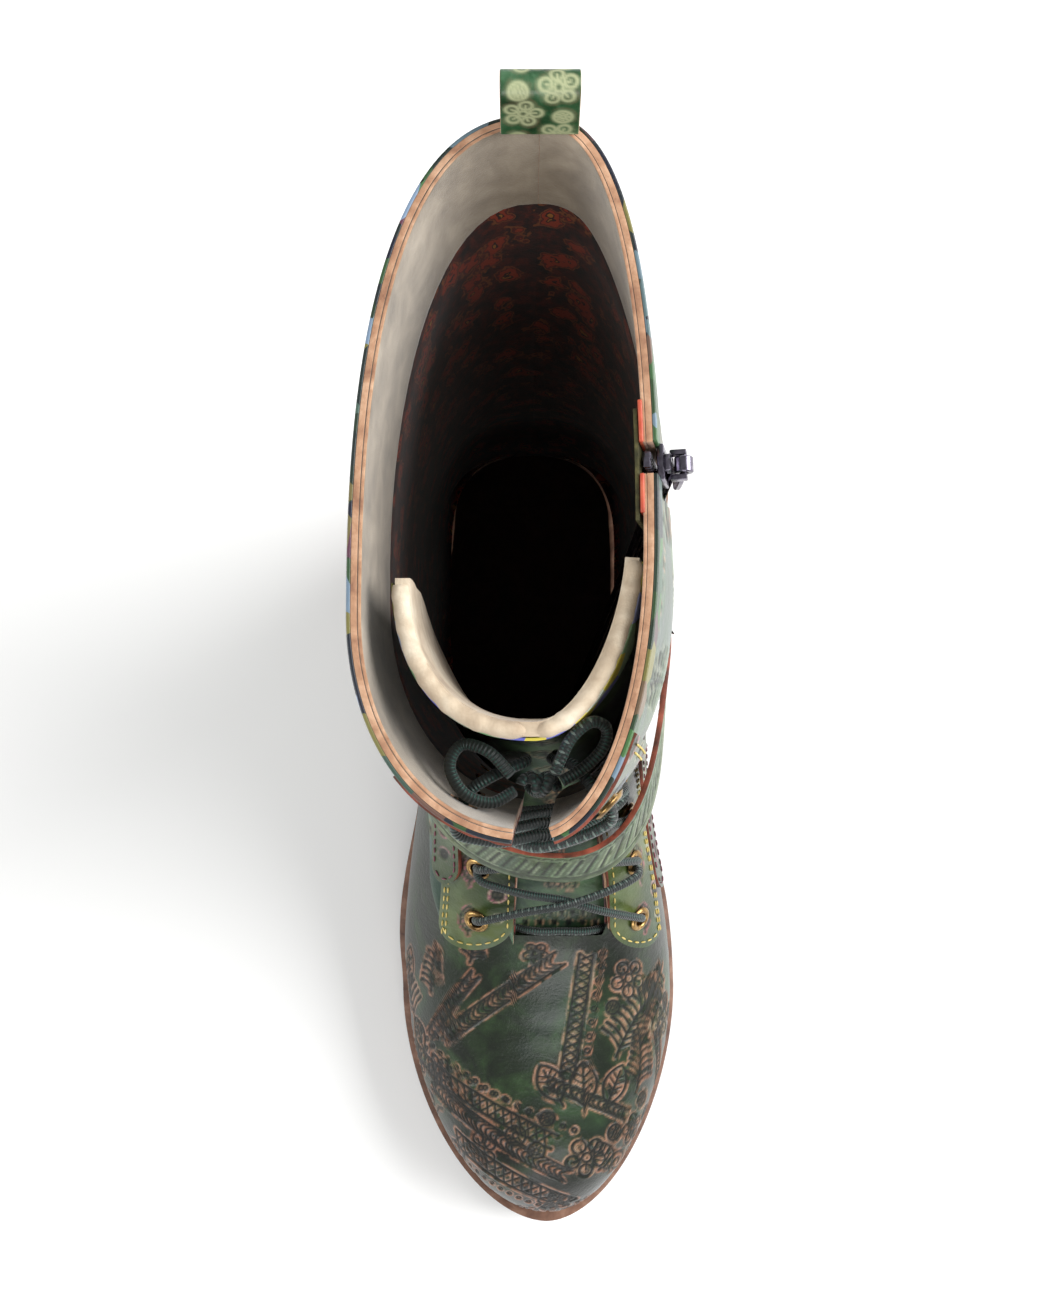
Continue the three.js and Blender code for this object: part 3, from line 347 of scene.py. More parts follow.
# Materials. Hex values are sRGB; one function turns them linear.
def linear(hexValue):
    parts = [int(hexValue[i:i + 2], 16) / 255 for i in (1, 3, 5)]
    return [p / 12.92 if p <= 0.04045 else ((p + 0.055) / 1.055) ** 2.4 for p in parts] + [1]


# Adds one node: inputs are values or sockets to link, stops are a ramp's places and colours.
def addNode(tree, kind, inputs=None, stops=None, **settings):
    made = tree.nodes.new("ShaderNode" + kind)
    for key, value in settings.items():
        setattr(made, key, value)
    if stops:
        ramp = made.color_ramp.elements
        while len(ramp) < len(stops):
            ramp.new(0.5)
        for element, (place, colour) in zip(ramp, stops):
            element.position = place
            element.color = linear(colour)
    for key, value in (inputs or {}).items():
        if isinstance(value, bpy.types.NodeSocket):
            tree.links.new(value, made.inputs[key])
        else:
            made.inputs[key].default_value = value
    return made


def newMaterial(name):
    made = bpy.data.materials.new(name)
    made.use_nodes = True
    made.node_tree.nodes.clear()
    return made, made.node_tree


def finishMaterial(tree, shader):
    addNode(tree, "OutputMaterial", {"Surface": shader.outputs["BSDF"]})


def noiseOf(tree, place, size, detail=3.0, roughness=0.55, distortion=0.0):
    settings = {"Vector": place, "Scale": 1 / (size * mm), "Detail": detail}
    settings.update({"Roughness": roughness, "Distortion": distortion})
    return addNode(tree, "TexNoise", settings).outputs["Fac"]


# Vegetable-tanned leather, embossed, dyed by hand and polished. Dark colour sits in the pressed
# lines ("line"), the colour rubs off their raised edges ("rub"), the toe is burnished ("toe"); the same "toe"
# mark also paints shade as near-black on the vamp's steep lower sides.
def tooledLeather(name, look):
    made, tree = newMaterial(name)
    place = addNode(tree, "TexCoord").outputs["Object"]
    clouds = noiseOf(tree, place, look["cloud"], 5, 0.6, 0.4)
    dyed = addNode(tree, "ValToRGB", {"Fac": clouds}, look["dye"])
    drift = noiseOf(tree, place, look["cloud"] * 2.7, 3, 0.5)
    tinted = addNode(tree, "ValToRGB", {"Fac": drift}, look["tint"])
    base = addNode(tree, "Mix", {0: look["tintShare"], 6: dyed.outputs["Color"], 7: tinted.outputs["Color"]},
                   data_type="RGBA", blend_type="MIX")
    toe = addNode(tree, "Attribute", attribute_name="toe")
    toned = addNode(tree, "Mix", {0: toe.outputs["Fac"], 6: base.outputs[2], 7: linear(look["burnishAndSideShade"])},
                    data_type="RGBA")
    line = addNode(tree, "Attribute", attribute_name="line").outputs["Fac"]
    dark = addNode(tree, "Mix", {0: line, 6: toned.outputs[2], 7: linear(look["groove"])}, data_type="RGBA")
    accent = addNode(tree, "Attribute", attribute_name="accent").outputs["Fac"]
    fleck = noiseOf(tree, place, look["rubSize"], 4, 0.7)
    hue = addNode(tree, "Math", {0: accent, 1: fleck}, operation="ADD")
    rubHue = addNode(tree, "ValToRGB", {"Fac": addNode(tree, "Math", {0: hue.outputs[0], 1: 0.5},
                     operation="MULTIPLY").outputs[0]}, look["rub"])
    rub = addNode(tree, "Attribute", attribute_name="rub").outputs["Fac"]
    patchy = addNode(tree, "MapRange", {"Value": noiseOf(tree, place, look["rubSize"] * 3, 3, 0.6),
                     "From Min": look["rubFrom"], "From Max": look["rubFrom"] + 0.16})
    rubbed = addNode(tree, "Math", {0: rub, 1: patchy.outputs[0]}, operation="MULTIPLY")
    shown = addNode(tree, "Math", {0: rubbed.outputs[0], 1: look["rubShare"]}, operation="MULTIPLY")
    colour = addNode(tree, "Mix", {0: shown.outputs[0], 6: dark.outputs[2], 7: rubHue.outputs["Color"]},
                     data_type="RGBA")
    cells = {"Vector": place, "Scale": 1 / (look["grain"] * mm), "Randomness": 0.9}
    grain = addNode(tree, "TexVoronoi", cells, feature="SMOOTH_F1")
    pores = noiseOf(tree, place, look["grain"] * 0.6, 4, 0.6)
    skin = addNode(tree, "Math", {0: grain.outputs["Distance"], 1: pores}, operation="ADD")
    wrinkle = noiseOf(tree, place, 5.5, 4, 0.65, 1.2)
    soft = addNode(tree, "Bump", {"Height": wrinkle, "Strength": look["wrinkle"], "Distance": 0.9 * mm})
    bump = addNode(tree, "Bump", {"Height": skin.outputs[0], "Strength": look["grainDepth"],
                   "Distance": 0.25 * mm, "Normal": soft.outputs[0]})
    glossy = {"Value": clouds, "To Min": look["gloss"] - 0.07, "To Max": look["gloss"] + 0.12}
    worn = addNode(tree, "MapRange", glossy)
    rough = addNode(tree, "Math", {0: line, 1: 0.25, 2: worn.outputs[0]}, operation="MULTIPLY_ADD")
    shader = addNode(tree, "BsdfPrincipled", {
        "Base Color": colour.outputs[2], "Roughness": rough.outputs[0], "Normal": bump.outputs[0],
        "Coat Weight": look["coat"], "Coat Roughness": 0.2, "IOR": 1.5, "Specular IOR Level": 0.36,
    })
    finishMaterial(tree, shader)
    return made


# The near-black toe colour serves both as burnish at the toe and as painted shade on the vamp's lower sides.
vampLook = {
    "cloud": 15, "dye": [(0.34, "#030503"), (0.48, "#0b1408"), (0.58, "#1d2f15"), (0.72, "#34502a")],
    "tint": [(0.35, "#070b06"), (0.55, "#1b2b15"), (0.75, "#2c4236")], "tintShare": 0.35,
    "burnishAndSideShade": "#0e070a", "groove": "#020302", "rubSize": 1.6, "rubFrom": 0.4, "rubShare": 0.75,
    "rub": [(0.2, "#7d4c36"), (0.4, "#a87a62"), (0.62, "#8f8468"), (0.8, "#4f6a58")],
    "grain": 0.9, "grainDepth": 0.22, "wrinkle": 0.25, "gloss": 0.34, "coat": 0.16,
}
panelLook = dict(
    vampLook, cloud=13, tintShare=0.45, groove="#0a0f09", burnishAndSideShade="#1a1a1a", gloss=0.34, coat=0.25,
    dye=[(0.3, "#0e180c"), (0.46, "#1f3119"), (0.6, "#3b4d34"), (0.78, "#707d68")],
    tint=[(0.35, "#18240f"), (0.5, "#3b4a22"), (0.62, "#6a763a"), (0.78, "#6c7684")], rubShare=0.7,
    rub=[(0.25, "#8a4436"), (0.45, "#a9607a"), (0.62, "#cfc7a2"), (0.8, "#44548c")],
)
quarterLook = dict(
    vampLook, cloud=16, tintShare=0.4, gloss=0.33, coat=0.25,
    dye=[(0.3, "#0c150a"), (0.46, "#24391b"), (0.6, "#4d6a3c"), (0.78, "#94a58c")],
    tint=[(0.35, "#1c2a16"), (0.55, "#46605a"), (0.75, "#8f9cae")],
)
vampLeather = tooledLeather("embossed dark green leather", vampLook)
quarterLeather = tooledLeather("embossed sage leather", quarterLook)
panelLeather = tooledLeather("embossed grey green leather", panelLook)
# The strap: darker, its scored slashes rubbed to a pale green.
strapLeather = tooledLeather("scored dark green strap leather", dict(
    panelLook, rub=[(0.25, "#35503a"), (0.45, "#6c8460"), (0.62, "#8f9c7c"), (0.8, "#54705e")],
))


# Plain finishes: a cloudy colour, fine bump of a real size, and a sheen or coat.
def plainFinish(name, look):
    made, tree = newMaterial(name)
    place = addNode(tree, "TexCoord").outputs["Object"]
    stretched = addNode(tree, "Mapping", {"Vector": place, "Scale": look.get("stretch", (1, 1, 1))})
    clouds = noiseOf(tree, stretched.outputs[0], look["cloud"], 4, 0.6, look.get("warp", 0.3))
    if "patch" in look:
        patches = addNode(tree, "TexVoronoi", {"Vector": place, "Scale": 1 / (look["patch"] * mm)})
        clouds = patches.outputs["Color"]
    colour = addNode(tree, "ValToRGB", {"Fac": clouds}, look["dye"])
    grain = noiseOf(tree, stretched.outputs[0], look["grain"], 3, 0.6)
    raised = {"Height": grain, "Strength": look["depth"], "Distance": look["grain"] * mm * 0.4}
    bump = addNode(tree, "Bump", raised)
    matt = {"Value": grain, "To Min": look["rough"] - 0.08, "To Max": look["rough"] + 0.08}
    rough = addNode(tree, "MapRange", matt)
    shader = addNode(tree, "BsdfPrincipled", {
        "Base Color": colour.outputs["Color"], "Roughness": rough.outputs[0], "Normal": bump.outputs[0],
        "Metallic": look.get("metal", 0), "Coat Weight": look.get("coat", 0), "Coat Roughness": 0.2,
        "Sheen Weight": look.get("sheen", 0),
    })
    finishMaterial(tree, shader)
    return made


# Raw edge of the leather, cut and left tan, with the fibres showing.
rawEdge = plainFinish("raw tan leather edge", {
    "cloud": 5, "grain": 0.5, "depth": 0.7, "rough": 0.75, "sheen": 0.2,
    "dye": [(0.3, "#8a6048"), (0.5, "#b08566"), (0.7, "#cda687")],
})
# Edge dye painted along the rims in many colours, as on hand-coloured boots.
paintedEdge = plainFinish("painted leather edge", {
    "cloud": 9, "patch": 7, "grain": 0.6, "depth": 0.4, "rough": 0.45, "coat": 0.2,
    "dye": [(0.2, "#0b1024"), (0.34, "#16281a"), (0.42, "#3f6a38"), (0.48, "#101820"), (0.56, "#2c4a24"),
            (0.64, "#8ea3c4"), (0.69, "#24401f"), (0.76, "#5c2a44"), (0.82, "#6f6a34")],
})
# The same paint where it is brightest, at the tongue's top.
brightPaint = plainFinish("bright painted leather", {
    "cloud": 10, "patch": 9, "grain": 0.6, "depth": 0.4, "rough": 0.4, "coat": 0.3,
    "dye": [(0.24, "#5f63b8"), (0.36, "#b9c4e6"), (0.44, "#2d5a3a"), (0.52, "#7fae7d"), (0.6, "#d3dac8"),
            (0.68, "#25442c"), (0.76, "#cfc04a")],
})
coralLeather = plainFinish("coral red leather", {
    "cloud": 6, "grain": 0.6, "depth": 0.4, "rough": 0.5, "coat": 0.15,
    "dye": [(0.3, "#8f2f1e"), (0.5, "#b8492f"), (0.7, "#cf6a4c")],
})
brownEdge = plainFinish("burnished brown leather edge", {
    "cloud": 6, "grain": 0.6, "depth": 0.5, "rough": 0.5, "coat": 0.2,
    "dye": [(0.3, "#46261a"), (0.5, "#7c3c2a"), (0.7, "#a4543f")],
})
# Welt: leather strip, its edge dyed reddish tan and waxed.
weltLeather = plainFinish("waxed reddish tan welt leather", {
    "cloud": 7, "grain": 0.7, "depth": 0.45, "rough": 0.45, "coat": 0.3,
    "dye": [(0.3, "#54382a"), (0.5, "#775442"), (0.7, "#96735e")],
})
# Suede lining: brushed nap, matt with a pale sheen.
suede = plainFinish("beige suede lining", {
    "cloud": 12, "grain": 0.45, "depth": 0.8, "rough": 0.92, "sheen": 0.5,
    "dye": [(0.3, "#6f6353"), (0.5, "#8b7e6c"), (0.7, "#a59885")],
})
paddedEdge = plainFinish("beige padded binding", {
    "cloud": 9, "grain": 0.6, "depth": 0.6, "rough": 0.8, "sheen": 0.3,
    "dye": [(0.3, "#a8937b"), (0.5, "#c6b49b"), (0.7, "#ddd0ba")],
})
heelRubber = plainFinish("black brown moulded rubber", {
    "cloud": 10, "grain": 0.8, "depth": 0.3, "rough": 0.7,
    "dye": [(0.3, "#1c1512"), (0.7, "#2f2420")],
})
# Felt sock on the insole: its dark brown is taken down almost to black as painted shade of the boot's deep
# inside.
insoleFeltPaintedShade = plainFinish("insole felt painted near-black as shade", {
    "cloud": 8, "grain": 0.6, "depth": 0.6, "rough": 0.95, "sheen": 0.1,
    "dye": [(0.3, "#1a0f0b"), (0.7, "#2c1a13")],
})
brass = plainFinish("aged brass", {
    "cloud": 2.4, "grain": 0.4, "depth": 0.15, "rough": 0.3, "metal": 1,
    "dye": [(0.3, "#5c4630"), (0.5, "#8d7148"), (0.7, "#b8965f")],
})
gunmetal = plainFinish("dark polished zinc plating", {
    "cloud": 3, "grain": 0.4, "depth": 0.12, "rough": 0.24, "metal": 1,
    "dye": [(0.3, "#4a4650"), (0.7, "#8d8896")],
})
zipWeave = plainFinish("olive woven zip tape", {
    "cloud": 3, "grain": 0.6, "depth": 1.0, "rough": 0.85, "stretch": (1, 1, 3),
    "dye": [(0.3, "#26250f"), (0.5, "#3e3b1c"), (0.7, "#5c5730")],
})
thread = plainFinish("waxed yellow thread", {
    "cloud": 4, "grain": 0.3, "depth": 0.5, "rough": 0.6,
    "dye": [(0.3, "#a78f3c"), (0.7, "#d6c27a")],
})
darkThread = plainFinish("magenta brown thread", {
    "cloud": 4, "grain": 0.3, "depth": 0.5, "rough": 0.6,
    "dye": [(0.3, "#4d2430"), (0.7, "#7d4152")],
})


# Printed lining: dark red ground with orange and cream blossoms of a common small-flower kind. On the boot's
# lining the ground is also taken toward black as painted shade.
def printedCloth(name, look):
    made, tree = newMaterial(name)
    place = addNode(tree, "TexCoord").outputs["Object"]
    size = look["bloom"] * mm
    wavy = addNode(tree, "TexNoise", {"Vector": place, "Scale": 1 / (0.4 * size), "Detail": 2.0})
    moved = addNode(tree, "VectorMath", {0: wavy.outputs["Color"], 1: [0.9 * size] * 3, 2: place},
                    operation="MULTIPLY_ADD")
    cells = addNode(tree, "TexVoronoi", {"Vector": moved.outputs[0], "Scale": 1 / size, "Randomness": 0.75},
                    feature="F1")
    petals = addNode(tree, "ValToRGB", {"Fac": cells.outputs["Distance"]}, look["petals"])
    petals.color_ramp.interpolation = "CONSTANT"
    mottle = noiseOf(tree, place, look["bloom"] * 0.35, 3, 0.6)
    ground = addNode(tree, "ValToRGB", {"Fac": mottle}, look["ground"])
    ground.color_ramp.interpolation = "EASE"
    rest = addNode(tree, "MapRange", {"Value": cells.outputs["Distance"], "From Min": look["edge"],
                   "From Max": look["edge"] + 0.03})
    printed = {0: rest.outputs[0], 6: petals.outputs["Color"], 7: ground.outputs["Color"]}
    colour = addNode(tree, "Mix", printed, data_type="RGBA")
    weave = noiseOf(tree, place, 0.5, 2, 0.5)
    bump = addNode(tree, "Bump", {"Height": weave, "Strength": 0.5, "Distance": 0.15 * mm})
    shader = addNode(tree, "BsdfPrincipled", {
        "Base Color": colour.outputs[2], "Roughness": look["rough"], "Normal": bump.outputs[0],
        "Sheen Weight": 0.2,
    })
    finishMaterial(tree, shader)
    return made


# The lining's dark red print is real. Its near-black ground stops are painted shade of the boot's inside.
liningPrintAndShade = printedCloth("printed dark red lining cloth with painted shade", {
    "bloom": 9, "edge": 0.4, "rough": 0.85,
    "petals": [(0.0, "#8a5a20"), (0.1, "#240805"), (0.16, "#7c2a12"), (0.3, "#46110a"), (0.36, "#6b3a1b")],
    "ground": [(0.35, "#0c0302"), (0.5, "#2a0a06"), (0.62, "#471408"), (0.75, "#101608")],
})
# Green leather with cream blossoms printed in the pressed lines, for the pull loop.
loopPrint = tooledLeather("green leather printed with cream blossoms", dict(
    vampLook, cloud=9, tintShare=0.3, groove="#aab088", rubShare=0.2,
    dye=[(0.3, "#1c3a22"), (0.5, "#33603c"), (0.65, "#5a8560"), (0.8, "#9ab69a")],
))


# Stacked leather heel: thin glued layers, sanded, dyed and waxed, so fine level lines show.
def stackedLeather(name, look):
    made, tree = newMaterial(name)
    place = addNode(tree, "TexCoord").outputs["Object"]
    waves = {"Vector": place, "Scale": look["bandScale"] / (look["layer"] * mm), "Distortion": 0.6,
             "Detail": 2.0, "Detail Scale": 3.0}
    bands = addNode(tree, "TexWave", waves, bands_direction="Z")
    colour = addNode(tree, "ValToRGB", {"Fac": bands.outputs["Fac"]}, look["dye"])
    blotch = addNode(tree, "ValToRGB", {"Fac": noiseOf(tree, place, 9, 4, 0.6)}, look["blotch"])
    toned = addNode(tree, "Mix", {0: 0.35, 6: colour.outputs["Color"], 7: blotch.outputs["Color"]},
                    data_type="RGBA")
    bump = addNode(tree, "Bump", {"Height": bands.outputs["Fac"], "Strength": 0.3, "Distance": 0.2 * mm})
    shader = addNode(tree, "BsdfPrincipled", {
        "Base Color": toned.outputs[2], "Roughness": 0.38, "Normal": bump.outputs[0], "Coat Weight": 0.3,
    })
    finishMaterial(tree, shader)
    return made


heelLeather = stackedLeather("stacked waxed heel leather", {
    "layer": 3.2, "bandScale": 0.157, "dye": [(0.05, "#2c150d"), (0.2, "#6e3d28"), (0.8, "#8a553c")],
    "blotch": [(0.3, "#4a2517"), (0.7, "#9a6247")],
})


# Round braided cord: dark teal with white flecks that wind along it. The piece's UV holds
# millimetres along the cord and turns round it.
def braidedCord(name, look):
    made, tree = newMaterial(name)
    place = addNode(tree, "UVMap", uv_map="along").outputs["UV"]
    parts = addNode(tree, "SeparateXYZ", {0: place})
    ways = [addNode(tree, "Math", {0: parts.outputs["Y"], 1: turn * look["braids"], 2: parts.outputs["X"]},
                    operation="MULTIPLY_ADD") for turn in (1, -1)]

    # The two ways round the cord as sines of one pitch, multiplied.
    def crossed(pitch):
        sines = []
        for way in ways:
            angle = addNode(tree, "Math", {0: way.outputs[0], 1: 2 * math.pi / pitch}, operation="MULTIPLY")
            sines.append(addNode(tree, "Math", {0: angle.outputs[0]}, operation="SINE").outputs[0])
        return addNode(tree, "Math", {0: sines[0], 1: sines[1]}, operation="MULTIPLY")

    braid, both = crossed(look["pitch"]), crossed(look["fleck"])
    spark = addNode(tree, "Math", {0: both.outputs[0], 1: look["fleckOver"]}, operation="GREATER_THAN")
    speck = addNode(tree, "Math", {0: spark.outputs[0], 1: look["fleckShare"]}, operation="MULTIPLY")
    body = addNode(tree, "ValToRGB", {"Fac": braid.outputs[0]}, look["dye"])
    colour = addNode(tree, "Mix", {0: speck.outputs[0], 6: body.outputs["Color"], 7: linear(look["white"])},
                     data_type="RGBA")
    bump = addNode(tree, "Bump", {"Height": braid.outputs[0], "Strength": 0.8, "Distance": 0.25 * mm})
    shader = addNode(tree, "BsdfPrincipled", {
        "Base Color": colour.outputs[2], "Roughness": 0.55, "Normal": bump.outputs[0], "Sheen Weight": 0.2,
    })
    finishMaterial(tree, shader)
    return made


cordBraid = braidedCord("braided waxed cotton cord", {
    "braids": 2.0, "pitch": 1.6, "fleck": 4.2, "fleckOver": 0.86, "fleckShare": 0.5,
    "white": "#7f8f86", "dye": [(0.0, "#03100e"), (0.5, "#0a2621"), (1.0, "#1a443b")],
})
print("materials ready")


# A sheet of rows by columns from one grid of points; marks are stored as attributes or UVs,
# and thickness folds a wall and a rim on to its back.
def sheetPiece(name, points, skins, thickness=0.0, rim=0.25, marks=None, flip=False):
    rows, columns = points.shape[0] - 1, points.shape[1] - 1
    made = bmesh.new()
    bmesh.ops.create_grid(made, x_segments=columns, y_segments=rows, size=1)
    mesh = bpy.data.meshes.new(name)
    made.to_mesh(mesh)
    made.free()
    flat = np.empty(len(mesh.vertices) * 3, np.float32)
    mesh.vertices.foreach_get("co", flat)
    flat = flat.reshape(-1, 3)
    across = np.rint((flat[:, 0] + 1) / 2 * columns).astype(int)
    along = np.rint((flat[:, 1] + 1) / 2 * rows).astype(int)
    mesh.vertices.foreach_set("co", toFrame(points[along, across]).astype(np.float32).ravel())
    for key, values in (marks or {}).items():
        if values.ndim == 2:
            layer = mesh.attributes.new(key, "FLOAT", "POINT")
            layer.data.foreach_set("value", values[along, across].astype(np.float32))
        else:
            corners = np.empty(len(mesh.loops), np.int32)
            mesh.loops.foreach_get("vertex_index", corners)
            layer = mesh.uv_layers.new(name=key)
            layer.data.foreach_set("uv", values[along, across][corners].astype(np.float32).ravel())
    if flip:
        mesh.flip_normals()
    piece = newPiece(name, mesh, skins)
    if thickness:
        walled(piece, thickness, rim)
    return piece


def newPiece(name, mesh, skins):
    piece = bpy.data.objects.new(name, mesh)
    bpy.context.scene.collection.objects.link(piece)
    for skin in skins:
        mesh.materials.append(skin)
    mesh.shade_smooth()
    return piece


def applyModifiers(piece, crease=50):
    bpy.context.view_layer.update()
    done = bpy.data.meshes.new_from_object(piece.evaluated_get(bpy.context.evaluated_depsgraph_get()))
    piece.modifiers.clear()
    piece.data = done
    done.shade_smooth()
    done.set_sharp_from_angle(angle=math.radians(crease))


# Merges doubles and turns all faces outwards.
def mend(piece, gap=0.0005, crease=None):
    made = bmesh.new()
    made.from_mesh(piece.data)
    bmesh.ops.remove_doubles(made, verts=made.verts, dist=gap * mm)
    bmesh.ops.holes_fill(made, edges=made.edges, sides=64)
    bmesh.ops.recalc_face_normals(made, faces=made.faces)
    made.to_mesh(piece.data)
    made.free()
    piece.data.shade_smooth()
    if crease:
        piece.data.set_sharp_from_angle(angle=math.radians(crease))
    return piece


def fasten(piece, slotName, *nodes, body="boot"):
    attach(piece, body)
    if nodes:
        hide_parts(*nodes)
    return piece


# Several small meshes built with bmesh operators, joined as one piece.
def joinedPiece(name, build, skins, crease=40):
    made = bmesh.new()
    build(made)
    mesh = bpy.data.meshes.new(name)
    made.to_mesh(mesh)
    made.free()
    piece = newPiece(name, mesh, skins)
    mesh.set_sharp_from_angle(angle=math.radians(crease))
    return piece


# Stamps for the tooled leather: strokes as runs of points in millimetres, with a half width.
def arcOf(radius, start=0.0, end=360.0, steps=20, centre=(0, 0)):
    turn = np.radians(np.linspace(start, end, steps))
    return np.stack([centre[0] + radius * np.cos(turn), centre[1] + radius * np.sin(turn)], -1)


def ringStamp(size):
    dots = [arcOf(0.12, 0, 360, 5, arcOf(size * 0.62, 0, 360, 9)[k]) for k in range(8)]
    return [(arcOf(size), 0.5), (arcOf(size * 0.3, steps=10), 0.45)] + [(dot, 0.42) for dot in dots]


def blossomStamp(size, petals=5):
    strokes = [(arcOf(size * 0.22, steps=9), 0.45)]
    for k in range(petals):
        turn = math.radians(90 + 360 * k / petals)
        leaf = arcOf(size * 0.3, 0, 360, 14, (size * 0.62 * math.cos(turn), size * 0.62 * math.sin(turn)))
        strokes.append((leaf, 0.45))
        ray = np.array([[0.3, 0], [0.62, 0]]) * size
        spin = np.array([[math.cos(turn), math.sin(turn)], [-math.sin(turn), math.cos(turn)]])
        strokes.append((ray @ spin, 0.35))
    return strokes


def fernStamp(size, bend=0.25, pairs=6):
    t = np.linspace(0, 1, 14)
    stem = np.stack([bend * size * t * t, size * t], -1)
    strokes = [(stem, 0.5)]
    for k in range(pairs):
        share = 0.12 + 0.8 * k / pairs
        foot = np.array([bend * size * share**2, size * share])
        long = size * 0.32 * (1 - 0.6 * share)
        for side in (-1, 1):
            s = np.linspace(0, 1, 7)
            leaf = foot + np.stack([side * long * s, long * 0.9 * s - long * 0.35 * s * s], -1)
            strokes.append((leaf, 0.5))
            strokes.append((leaf[-3:] + [side * 0.3, -0.5], 0.4))
    return strokes


def scrollStamp(size, turns=1.6):
    t = np.linspace(0, 1, 30)
    turn = 2 * math.pi * turns * t
    run = np.stack([size * (1 - 0.85 * t) * np.cos(turn), size * (1 - 0.85 * t) * np.sin(turn)], -1)
    tail = np.array([[size, 0], [size * 1.15, -size * 0.5], [size * 1.6, -size * 0.9]])
    return [(run, 0.55), (tail, 0.5)]


def leafStamp(size, veins=4):
    t = np.linspace(0, 1, 12)
    edge = size * 0.3 * np.sin(math.pi * t) ** 0.8
    strokes = [(np.stack([side * edge, size * t], -1), 0.48) for side in (-1, 1)]
    strokes.append((np.array([[0, -size * 0.15], [0, size * 0.85]]), 0.42))
    for k in range(veins):
        share = 0.2 + 0.6 * k / veins
        for side in (-1, 1):
            vein = [[0, size * share], [side * size * 0.2 * math.sin(math.pi * share), size * (share + 0.14)]]
            strokes.append((np.array(vein), 0.32))
    return strokes


def beadStamp(size, reach=None, bow=0.0):
    count = max(3, int((reach or size * 4) / (size * 2.3)))
    places = np.linspace(-0.5, 0.5, count) * (reach or size * 4)
    return [(arcOf(size * 0.5, 0, 360, 8, (x, bow * (1 - (2 * x / (reach or size * 4)) ** 2))), 0.38)
            for x in places]


def latticeStamp(size, reach=16.0):
    strokes = [(np.array([[-reach / 2, y], [reach / 2, y]]), 0.5) for y in (-size / 2, size / 2)]
    for x in np.arange(-reach / 2, reach / 2 - size * 0.6, size * 0.62):
        strokes.append((np.array([[x, -size / 2], [x + size * 0.62, size / 2]]), 0.38))
        strokes.append((np.array([[x + size * 0.62, -size / 2], [x, size / 2]]), 0.38))
    return strokes


# Ears of wheat along a line: short bent leaves in pairs between two plain rules.
def wheatStamp(size, reach=30.0):
    strokes = [(np.array([[-reach / 2, y], [reach / 2, y]]), 0.4) for y in (-size / 2, size / 2)]
    for x in np.arange(-reach / 2, reach / 2 - 2, 2.1):
        for side in (-1, 1):
            s = np.linspace(0, 1, 5)
            strokes.append((np.stack([x + 2.6 * s, side * size * 0.4 * np.sqrt(s)], -1), 0.42))
    return strokes


# Places a stamp: kind, across and along in millimetres, turn in degrees, size, tone of its rub.
def stampsFrom(rows):
    kinds = {"ring": ringStamp, "blossom": blossomStamp, "fern": fernStamp, "scroll": scrollStamp,
             "leaf": leafStamp, "beads": beadStamp, "lattice": latticeStamp, "wheat": wheatStamp}
    made = []
    for kind, across, along, turn, size, tone, *more in rows:
        angle = math.radians(turn)
        spin = np.array([[math.cos(angle), math.sin(angle)], [-math.sin(angle), math.cos(angle)]])
        for run, width in kinds[kind](size, *more):
            made.append((run @ spin + [across, along], width, tone))
    return made


# How each place on the leather meets the stamps: line 0..1, raised rub 0..1 and its tone.
def press(across, along, strokes):
    x, y = across.ravel(), along.ravel()
    nearest, tone = np.full(x.shape, 9.0), np.zeros(x.shape)
    for run, width, hue in strokes:
        low, high = run.min(0) - 2.2, run.max(0) + 2.2
        near = np.flatnonzero((x > low[0]) & (x < high[0]) & (y > low[1]) & (y < high[1]))
        if not len(near):
            continue
        a, b = run[:-1], run[1:] - run[:-1]
        p = np.stack([x[near], y[near]], -1)[:, None, :] - a
        t = np.clip((p * b).sum(-1) / np.maximum(1e-9, (b * b).sum(-1)), 0, 1)
        away = np.sqrt(((p - t[..., None] * b) ** 2).sum(-1)).min(1) / width
        better = away < nearest[near]
        nearest[near[better]] = away[better]
        tone[near[better]] = hue
    line = np.exp(-(nearest / 1.05) ** 2)
    rub = np.exp(-((nearest - 2.0) / 0.75) ** 2)
    return line.reshape(across.shape), rub.reshape(across.shape), tone.reshape(across.shape)


